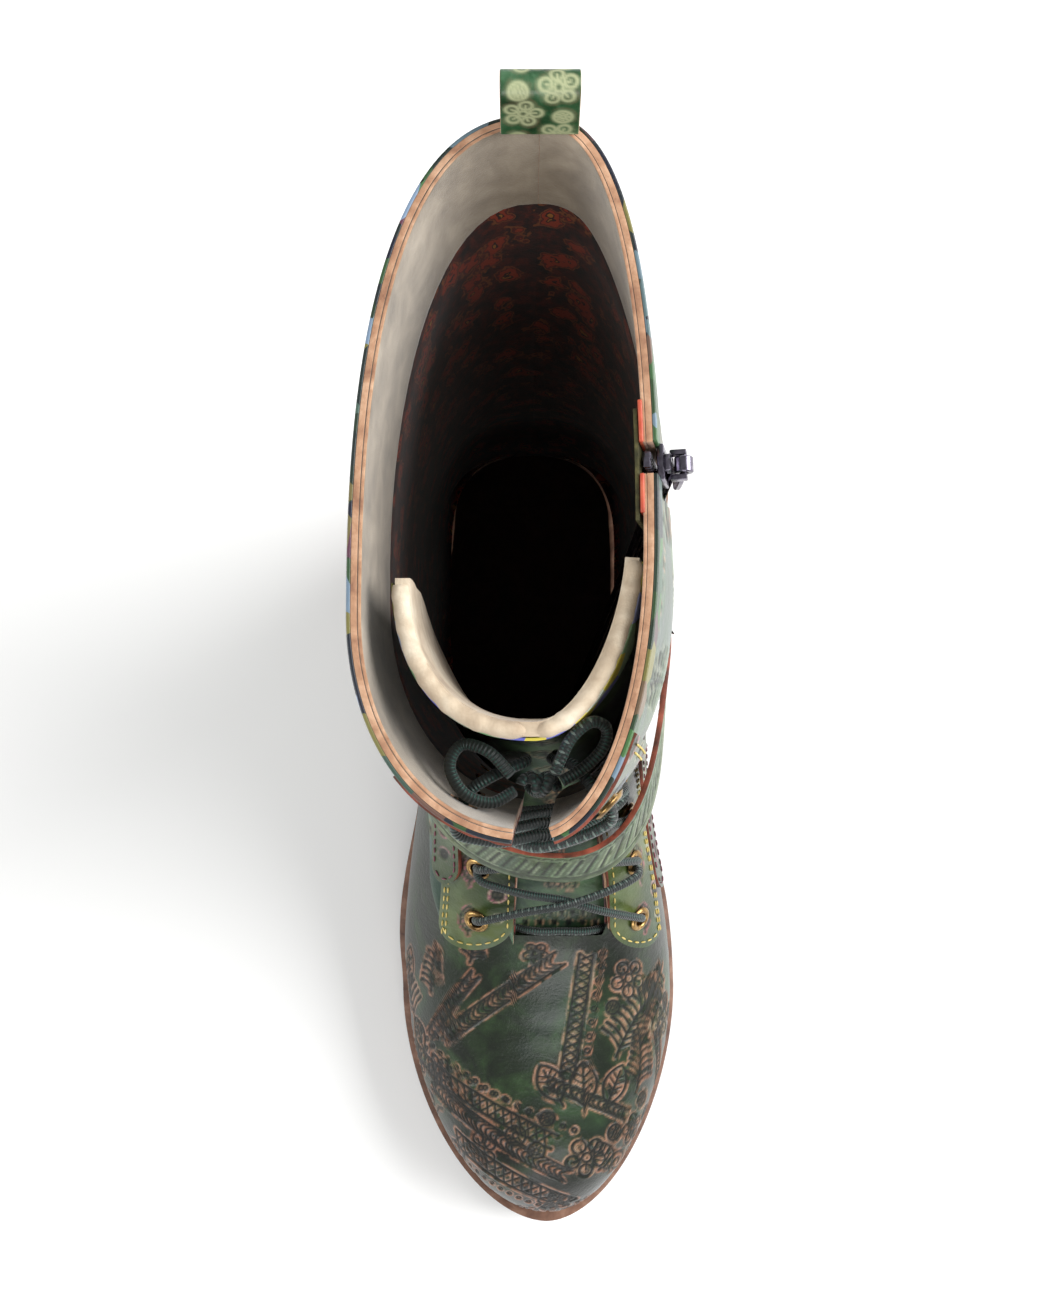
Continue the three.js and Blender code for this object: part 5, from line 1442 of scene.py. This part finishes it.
# A round tube along a run, with millimetres along and turns round it as its UV.
def tubeGrid(run, radius, sides):
    way = np.gradient(run, axis=0)
    way /= np.linalg.norm(way, axis=1, keepdims=True)
    side = np.cross(way[0], [0.3, 0.2, 1.0])
    ring = []
    turn = np.linspace(0, 2 * math.pi, sides + 1)
    for i in range(len(run)):
        side = side - way[i] * np.dot(side, way[i])
        side /= np.linalg.norm(side)
        other = np.cross(way[i], side)
        ring.append(run[i] + radius * (np.cos(turn)[:, None] * side + np.sin(turn)[:, None] * other))
    return np.array(ring)


def tubePiece(name, runs, radius, skins, sides=12):
    parts = []
    for k, run in enumerate(runs):
        grid = tubeGrid(run, radius, sides)
        far = np.concatenate([[0], np.cumsum(np.linalg.norm(np.diff(run, axis=0), axis=1))])
        lay = np.stack([np.repeat(far[:, None], sides + 1, 1),
                        np.repeat(np.linspace(0, 1, sides + 1)[None, :], len(run), 0)], -1)
        parts.append(mend(sheetPiece(f"{name}_{k}", grid, skins, marks={"along": lay})))
    whole = bmesh.new()
    for part in parts:
        whole.from_mesh(part.data)
    mesh = bpy.data.meshes.new(name)
    whole.to_mesh(mesh)
    whole.free()
    for part in parts:
        bpy.data.objects.remove(part)
    return newPiece(name, mesh, skins)


def onFacing(length, distance, offset):
    u = stationAt(np.atleast_1d(float(length)))
    return facing(u, vAt(u, np.array([float(distance)])), np.array([offset]))[0]


def crossingRuns(pair):
    start = boot["firstEyelet"] + pair * boot["eyeletPitch"]
    end = start + boot["eyeletPitch"]
    runs = []
    for side in (-1, 1):
        fromAcross = -side * (gapHalf(start) + boot["eyeletSetback"])
        toAcross = side * (gapHalf(end) + boot["eyeletSetback"])
        low, high = start + lace["aside"], end - lace["aside"]
        points = [onFacing(low, fromAcross, lace["hole"]), onFacing(low, fromAcross, 2.6)]
        for share in (0.05, 0.16, 0.3, 0.42, 0.5, 0.58, 0.7, 0.84, 0.95):
            hump = side * lace["cross"] * math.exp(-(((share - 0.5) / 0.13) ** 2))
            sag = -0.9 * math.exp(-(((share - 0.5) / 0.3) ** 2))
            points.append(onFacing(mix(low + 0.8, high - 0.8, share), mix(fromAcross, toAcross, share),
                                   lace["rest"] + hump + sag))
        points += [onFacing(high, toAcross, 2.6), onFacing(high, toAcross, lace["hole"])]
        runs.append(smoothRun(points, lace["spacing"])[0])
    return runs


crossings = [run for pair in range(boot["eyeletPairs"] - 1) for run in crossingRuns(pair)]
barHalf = float(gapHalf(2.2)) + 11
bar = []
for share in (-1, -0.86, -0.6, -0.3, 0, 0.3, 0.6, 0.86, 1):
    under = -3.2 if abs(share) > 0.5 else -1.2
    bar.append(onFacing(2.2 + 7.0 * max(0, abs(share) - 0.6) / 0.4, share * barHalf, under))
crossings.append(smoothRun(bar, lace["spacing"])[0])
run = tubePiece("lace", crossings, lace["radius"], [cordBraid], lace["sides"])
fasten(run, "lace", "lace_bar", *[f"lace_crossing_{i}" for i in range(1, 9)])

# Loose lace: medial, forward and up in millimetres, the same routes as the frame's cords.
looseLace = {
    "lace_tail_lateral": ([
        (-15.9, 123.6, 236.35), (-14, 120.6, 236.5), (-9, 117.5, 236.6), (-3, 114.8, 234), (-4, 113.5, 224),
        (-7, 113, 210), (-8, 112.5, 192),
    ], "bare"),
    "lace_tail_medial": ([
        (11.7, 121, 236.4), (9.6, 118.2, 236), (7, 115.4, 233.5), (3.4, 114.4, 229), (3.2, 113.6, 220),
        (5, 112.6, 208), (4.5, 112, 196),
    ], "bare"),
    "lace_loop_lateral": ([
        (-5.2, 121, 236), (-10, 123.4, 238), (-15.5, 121.5, 240), (-18.5, 116, 240), (-16, 111.5, 239),
        (-10.5, 113, 240.5), (-5.8, 117.8, 239.6),
    ], "object"),
    "lace_loop_medial": ([
        (4.6, 119, 238.4), (9, 116.4, 238.6), (13, 112.4, 239.6), (13.8, 108.2, 241), (10.6, 107, 242.8),
        (6.6, 110.2, 243.6), (4.2, 114.8, 243.4), (3.2, 117.4, 242.2),
    ], "object"),
}
for name, (route, ending) in looseLace.items():
    points = [(medial, -forward, up) for medial, forward, up in route]
    run, length = smoothRun(points, 0.6)
    piece = tubePiece(name, [run], lace["radius"], [cordBraid])
    fasten(piece, "lace", name)
    path = toFrame(run)
    print(name, round(length, 1), "mm")

# Knot: the bow's wrapped middle, one short turn of cord over two others.
knot = {"place": (0, -119.6, 236), "wide": 3.0, "turns": 1.6}
knotRuns = []
for tilt, radius in ((0.5, 2.3), (-0.6, 2.0)):
    turn = np.linspace(0, 2 * math.pi * knot["turns"], 60)
    ring = np.stack([np.linspace(-knot["wide"], knot["wide"], 60) * 0.9 + radius * tilt * np.cos(turn),
                     radius * 0.75 * np.sin(turn), radius * np.cos(turn)], -1)
    knotRuns.append(ring + np.array(knot["place"]))
fasten(tubePiece("lace_knot", knotRuns, 1.15, [cordBraid]), "lace", "lace_knot")
print("lace made")

# Zip: woven tape, a metal tooth for each step on both sides, the slider and its pull tab.
zipper = {
    "tape": 22, "tapeOffset": -2.95, "tapeThick": 0.8, "pitch": 2.0, "tooth": (2.3, 1.1, 1.5),
    "toothAt": -1.45, "toothAside": 0.7, "sliderUp": 244, "floor": 0.3, "pin": 0.7,
}
u = np.linspace(float(zipStation(66)), topStation, 91)[:, None]
halfTape = zipper["tape"] / 2 * np.linspace(-1, 1, 13)[None, :]
u, halfTape = np.broadcast_arrays(u, halfTape)
v = zipLine(u, halfTape)
grid = facing(u, v, np.full(u.shape, zipper["tapeOffset"]))
fasten(sheetPiece("zip_tape", grid, [zipWeave], zipper["tapeThick"], 0.2), "zip_tape", "zip_tape")


def frameAt(u, v):
    out = Vector(faceNormal(u, v))
    aside = Vector((0, 0, 1)).cross(out).normalized()
    turn = Matrix((aside, out.cross(aside), out)).transposed().to_4x4()
    return Matrix.Translation(toFrame(facePoint(u, v))) @ turn


def boxIn(made, size, middle, place, bevel=0.0):
    scale = Matrix.Diagonal((*[s * mm for s in size], 1))
    centre = Matrix.Translation([m * mm for m in middle])
    verts = bmesh.ops.create_cube(made, size=1, matrix=centre @ scale)["verts"]
    if bevel:
        edges = list({edge for vert in verts for edge in vert.link_edges})
        verts = bmesh.ops.bevel(made, geom=edges, offset=bevel * mm, segments=2, profile=0.5,
                                affect="EDGES")["verts"]
    bmesh.ops.transform(made, matrix=place, verts=verts)


def teethBuild(made):
    for k, up in enumerate(np.arange(71.5, 252.0, zipper["pitch"] / 2)):
        side = 1 if k % 2 else -1
        u = float(zipStation(up))
        place = frameAt(u, float(zipLine(np.array(u))))
        boxIn(made, zipper["tooth"], (side * zipper["toothAside"], 0, zipper["toothAt"]), place, 0.25)


fasten(joinedPiece("zip_teeth", teethBuild, [gunmetal], 30), "gunmetal", "zip_teeth")


# The slider: a body with two round cheeks, as the photo shows, and two posts with a pin.
def cylinderIn(made, radius, depth, middle, place, sides=32, ring=0.0):
    turn = Matrix.Translation([m * mm for m in middle])
    parts = bmesh.ops.create_cone(made, cap_ends=True, segments=sides, radius1=radius * mm,
                                  radius2=radius * mm, depth=depth * mm, matrix=turn)["verts"]
    if ring:
        face = max({f for vert in parts for f in vert.link_faces if len(f.verts) > 4},
                   key=lambda f: f.calc_center_median().z)
        bmesh.ops.inset_region(made, faces=[face], thickness=ring * mm, depth=0)
        bmesh.ops.inset_region(made, faces=[face], thickness=0.15 * mm, depth=-0.9 * mm)
        beside = {edge.other_vert(vert) for vert in face.verts for edge in vert.link_edges}
        parts = list(set(parts) | set(face.verts) | beside)
    bmesh.ops.transform(made, matrix=place, verts=parts)


sliderU = float(zipStation(zipper["sliderUp"]))
sliderPlace = frameAt(sliderU, float(zipLine(np.array(sliderU))))
pinOut = zipper["floor"] + 2.8 + 2.0 + 0.3


def sliderBuild(made):
    boxIn(made, (7.6, 10, 1.5), (0, 0, zipper["floor"] + 0.75), sliderPlace, 0.4)
    boxIn(made, (3.4, 8.6, 1.3), (0, 0, zipper["floor"] + 2.05), sliderPlace, 0.35)
    for end in (-1, 1):
        cylinderIn(made, 3.1, 1.3, (0, end * 2.2, zipper["floor"] + 2.1), sliderPlace, ring=0.9)
    for side in (-1, 1):
        boxIn(made, (1.2, 2.6, 3.5), (side * 2.6, 0, pinOut - 1.05), sliderPlace, 0.3)
    turn = Matrix.Translation((0, 0, pinOut * mm)) @ Matrix.Rotation(math.pi / 2, 4, "Y")
    pin = zipper["pin"] * mm
    bmesh.ops.create_cone(made, cap_ends=True, segments=20, radius1=pin, radius2=pin, depth=5.2 * mm,
                          matrix=sliderPlace @ turn)


fasten(joinedPiece("zip_slider", sliderBuild, [gunmetal], 35), "gunmetal", "zip_slider")

# Pull tab: a flat leaf with an oval slot under a barrel that turns on the pin.
pullTab = {"barrel": 2.0, "bore": 1.0, "head": 3.4, "leaf": 5.0, "length": 17.0, "slot": (1.5, 7.0)}


def pullBuild(made):
    hinge = sliderPlace @ Vector((0, 0, pinOut * mm))
    aside = Vector(sliderPlace.col[0][:3])
    turn = Matrix((aside, Vector((0, 0, 1)), aside.cross(Vector((0, 0, 1))))).transposed().to_4x4()
    place = Matrix.Translation(hinge) @ turn
    section = [(pullTab["bore"], -1), (pullTab["barrel"] - 0.25, -1), (pullTab["barrel"], -0.86),
               (pullTab["barrel"], 0.86), (pullTab["barrel"] - 0.25, 1), (pullTab["bore"], 1)]
    half = pullTab["head"] / 2
    verts = [made.verts.new((x * half * mm, radius * mm, 0)) for radius, x in section]
    edges = [made.edges.new(pair) for pair in zip(verts, verts[1:] + verts[:1])]
    bmesh.ops.spin(made, geom=verts + edges, cent=(0, 0, 0), axis=(1, 0, 0), dvec=(0, 0, 0),
                   angle=2 * math.pi, steps=32, use_merge=True)
    wide, slot = pullTab["leaf"] / 2, pullTab["slot"]
    outer, inner = [], []
    for k in range(48):
        turnAt = 2 * math.pi * k / 48
        x, y = math.sin(turnAt), math.cos(turnAt)
        top, low = -1.7, -pullTab["length"]
        middle = (top + low) / 2
        narrow = mix(1, 0.72, float(ease((y - 0.2) / 0.6)))
        blunt = (np.sign(x) * abs(x) ** 0.7, np.sign(y) * abs(y) ** 0.7)
        outer.append((wide * narrow * blunt[0], middle + (top - low) / 2 * blunt[1]))
        inner.append((slot[0] / 2 * x, middle - 1.5 + slot[1] / 2 * np.sign(y) * abs(y) ** 0.8))
    levels = []
    for z, shrink in ((-0.6, 0.2), (-0.4, 0.0), (0.4, 0.0), (0.6, 0.2)):
        levels.append([[((x - np.sign(x) * min(abs(x), shrink) * way) * mm, y * mm, z * mm) for x, y in ring]
                       for ring, way in ((outer, 1), (inner, -1))])
    loops = [[[made.verts.new(p) for p in ring] for ring in level] for level in levels]
    for k in range(48):
        n = (k + 1) % 48
        for low, high in zip(loops, loops[1:]):
            made.faces.new((low[0][k], low[0][n], high[0][n], high[0][k]))
            made.faces.new((low[1][n], low[1][k], high[1][k], high[1][n]))
        made.faces.new((loops[0][0][n], loops[0][0][k], loops[0][1][k], loops[0][1][n]))
        made.faces.new((loops[-1][0][k], loops[-1][0][n], loops[-1][1][n], loops[-1][1][k]))
    bmesh.ops.recalc_face_normals(made, faces=made.faces)
    bmesh.ops.transform(made, matrix=place, verts=made.verts)


fasten(joinedPiece("zip_pull", pullBuild, [gunmetal], 35), "gunmetal", "zip_pull", body="pull_tab")

# Coral-red leather let in behind the zip's top, seen over the rim.
guard = {"from": 3.2, "behind": 13, "before": 10, "low": 226, "offset": -1.9, "thickness": 0.9, "over": 0.5}
for name, way, reach in (("before", -1, guard["before"]), ("behind", 1, guard["behind"])):
    u = np.linspace(float(zipStation(guard["low"])), topStation, 31)[:, None]
    aside = way * np.linspace(guard["from"], reach, 9)[None, :]
    u, aside = np.broadcast_arrays(u, aside)
    grid = facing(u, zipLine(u, aside), guard["offset"])
    grid[-1, :, 2] += guard["over"]
    piece = sheetPiece("zip_guard_" + name, grid, [coralLeather], flip=way < 0)
    fasten(walled(piece, guard["thickness"], 0.25), "suede")
print("zip made")

# Pull loop: printed leather band folded over the collar's back, its inner leg let in at the rim.
loop = {
    "width": 16, "outside": 22, "aboveRim": 0.4, "rise": 15, "inner": 1.6, "outer": 3.2, "columns": 44,
    "rows": 80,
}
collarBack, belowBack = facePoint(topStation, 1.0), facePoint(topStation - 0.6, 1.0)
backUp = (collarBack - belowBack) / np.linalg.norm(collarBack - belowBack)
backOut = np.cross(backUp, [1.0, 0, 0])
loopOrigin = collarBack - backOut * boot["wall"] / 2
turn = np.linspace(0, math.pi, 25)
top = loop["rise"] - loop["outer"]
path = [(loop["outer"], y) for y in np.linspace(-loop["outside"], top, loop["rows"])[:-1]]
path += [(loop["outer"] * math.cos(t), top + loop["outer"] * math.sin(t)) for t in turn]
path += [(-loop["outer"], y) for y in np.linspace(top, loop["aboveRim"], 36)[1:]]
path = np.array(path)
aside = np.linspace(-0.5, 0.5, loop["columns"] + 1) * loop["width"]
grid = loopOrigin + path[:, :1, None] * backOut + path[:, 1:, None] * backUp
grid = grid + aside[None, :, None] * np.array([1, 0, 0])
loopRun = np.cumsum(np.r_[0, np.linalg.norm(np.diff(path, axis=0), axis=1)])
wide, far = np.broadcast_arrays(aside[None, :], loopRun[:, None])
blossoms = [("blossom", -3.4 + 7 * (k % 2), 5 + 7.2 * k, 20 * k, 4.2, 0.5) for k in range(9)]
dots = [("ring", 4.6 - 9 * (k % 2), 6 + 7.2 * k, 0, 1.8, 0.5) for k in range(8)]
line, rub, tone = press(wide, far, stampsFrom(blossoms + dots))
marks = {"line": line, "rub": rub, "accent": tone, "toe": np.zeros_like(line)}
band = sheetPiece("pull_loop", grid, [loopPrint, rawEdge, rawEdge], marks=marks, flip=True)
fasten(walled(band, loop["outer"] - loop["inner"], 0.3), "green_leather", "pull_loop")
print("pull loop made")

# Tongue binding: a soft beige roll along the top edge, dipped at the middle, over a bright strip.
binding = {"radius": 2.05, "sides": 14, "columns": 150, "notch": 2.6, "notchWide": 0.05, "strip": 8.0}
shares = np.linspace(-1, 1, binding["columns"] + 1)
topLength = np.array([crestLength - tongue["belowCollar"] - 0.6])
ridge = tonguePoints(topLength, shares, tongue["high"] - tongue["thickness"] / 2)[0][0]
inner = tonguePoints(topLength, shares, tongue["high"] - tongue["thickness"] / 2 - 1)[0][0]
inward = inner - ridge
turn = np.linspace(0, 2 * math.pi, binding["sides"] + 1)
notch = 1 - 0.45 * np.exp(-(shares / binding["notchWide"]) ** 2)
ends = np.maximum(0.02, np.sqrt(np.clip((1 - np.abs(shares)) / 0.05, 0, 1)))
ring = binding["radius"] * (notch * ends)[:, None]
puckers = 1 + 0.05 * np.sin(shares * 47)[:, None] + 0.04 * np.sin(shares * 83 + 1)[:, None]
grid = (ridge[:, None, :] + (ring * 0.92 * np.cos(turn) * puckers)[..., None] * inward[:, None, :]
        + (ring * np.sin(turn) * puckers)[..., None] * np.array([0, 0, 1.0]))
grid = grid - inward[:, None, :] * 0.4
grid[..., 2] -= (binding["notch"] * np.exp(-(shares / 0.035) ** 2))[:, None] * 0.4
roll = mend(sheetPiece("tongue_binding", grid, [paddedEdge]))
fasten(roll, "suede")

shares = np.linspace(-0.985, 0.985, binding["columns"] + 1)
lengths = np.linspace(topLength[0] - binding["strip"], topLength[0] - 0.2, 7)
points, _ = tonguePoints(lengths, shares, tongue["high"] + 0.9)
fasten(sheetPiece("tongue_strip", points, [brightPaint], 0.6, 0.2), "green_leather")
print("tongue binding made")

# Stitches: one short rounded stitch, set along lines on the leather a little above its face.
seam = {"length": 2.3, "gap": 1.1, "radius": 0.3}


def stitchesAlong(made, points, normals):
    run = np.concatenate([[0], np.cumsum(np.linalg.norm(np.diff(points, axis=0), axis=1))])
    step = seam["length"] + seam["gap"]
    for k in range(int(run[-1] // step)):
        places = [np.array([np.interp(k * step + seam["length"] * part, run, points[:, i]) for i in range(3)])
                  for part in (0, 0.5, 1)]
        lift = np.array([np.interp(k * step, run, normals[:, i]) for i in range(3)])
        way = Vector(places[2] - places[0]).normalized()
        out = Vector(lift).normalized()
        turn = Matrix((way, out.cross(way), out)).transposed().to_4x4()
        size = Matrix.Diagonal((seam["length"] / 2 * mm, seam["radius"] * mm, seam["radius"] * mm, 1))
        middle = Matrix.Translation(toFrame(places[1] + lift * seam["radius"] * 0.5))
        bmesh.ops.create_uvsphere(made, u_segments=6, v_segments=5, radius=1,
                                  matrix=middle @ turn @ size @ Matrix.Rotation(math.pi / 2, 4, "Y"))


def seamPiece(name, lines, skin, slotName):
    def build(made):
        for lengths, acrosses, offset in lines:
            u = stationAt(lengths)
            v = vAt(u, acrosses[:, None])[:, 0]
            stitchesAlong(made, facing(u, v, np.full(u.shape, offset)), faceNormal(u, v))
    return fasten(joinedPiece(name, build, [skin], 60), slotName)


stayLines, tabLines = [], []
for side in (-1, 1):
    lengths = np.linspace(2.0, crestLength - eyestay["top"] - 2, 200)
    for inset in (1.8, 3.4):
        stayLines.append((lengths, side * (gapHalf(lengths) + boot["eyestayWidth"] - inset), eyestay["high"]))
    lengths = np.linspace(6, crestLength - eyestay["top"] - 2, 200)
    stayLines.append((lengths, side * (gapHalf(lengths) + 1.8), eyestay["high"]))
    turns = np.radians(np.linspace(12, 168, 60))
    radius = boot["eyestayWidth"] / 2 - 1.9
    lobeMiddle = gapHalf(2.0) + boot["eyestayWidth"] / 2
    lobeAcross = side * (lobeMiddle + radius * np.cos(turns))
    stayLines.append((7.0 - radius * 0.74 * np.sin(turns), lobeAcross, eyestay["high"]))
for side, start, middle, low in tabRows.values():
    turns = np.radians(np.linspace(0, 180, 50))
    radius = tab["width"] / 2 - 1.6
    rise = low + tab["thickness"]
    tip = start + tab["width"] / 2 - radius * np.sin(turns)
    tabLines.append((tip, side * middle + radius * np.cos(turns), rise))
    for aside in (-1, 1):
        lengths = np.linspace(start + tab["width"] / 2, start + tab["length"] - 3, 60)
        tabLines.append((lengths, np.full(60, side * middle + aside * radius), rise))
seamPiece("eyestay_stitches", stayLines, thread, "lace")
seamPiece("tab_stitches", tabLines, darkThread, "lace")
print("stitches made")

# Floor, light and camera.
floor = joinedPiece("floor", lambda made: bmesh.ops.create_grid(made, x_segments=1, y_segments=1, size=3), [])
floorPaint, tree = newMaterial("pale studio floor")
finishMaterial(tree, addNode(tree, "BsdfPrincipled", {"Base Color": linear("#fbfbfa"), "Roughness": 0.9}))
floor.data.materials.append(floorPaint)


def addLight(name, kind, place, target, **settings):
    light = bpy.data.objects.new(name, bpy.data.lights.new(name, kind))
    bpy.context.scene.collection.objects.link(light)
    light.location = place
    light.rotation_euler = (Vector(target) - Vector(place)).to_track_quat("-Z", "Y").to_euler()
    for key, value in settings.items():
        setattr(light.data, key, value)
    return light


addLight("key softbox", "AREA", (1.5, 0.35, 1.25), (0, 0, 0.1), energy=60, size=1.5, shape="SQUARE")
addLight("left strip", "AREA", (-1.5, -0.2, 0.9), (0, 0, 0.1), energy=15, size=0.9, shape="SQUARE")
addLight("front strip", "AREA", (0.1, -1.6, 0.9), (0, 0, 0.1), energy=10, size=0.8, shape="SQUARE")
world = bpy.data.worlds.new("studio")
bpy.context.scene.world = world
world.use_nodes = True
world.node_tree.nodes["Background"].inputs[0].default_value = linear("#ffffff")
world.node_tree.nodes["Background"].inputs[1].default_value = 0.4

view = {"place": (-5.74, -1.46, 550.0), "tilt": 6.0, "lens": 41.54, "sensor": 36.0}
camera = bpy.data.objects.new("camera", bpy.data.cameras.new("camera"))
bpy.context.scene.collection.objects.link(camera)
camera.location = Vector(view["place"]) * mm
camera.rotation_euler = (math.radians(view["tilt"]), 0, 0)
camera.data.lens = view["lens"]
camera.data.sensor_width = view["sensor"]
bpy.context.scene.camera = camera
bpy.context.scene.view_settings.view_transform = "Standard"
print("studio ready")
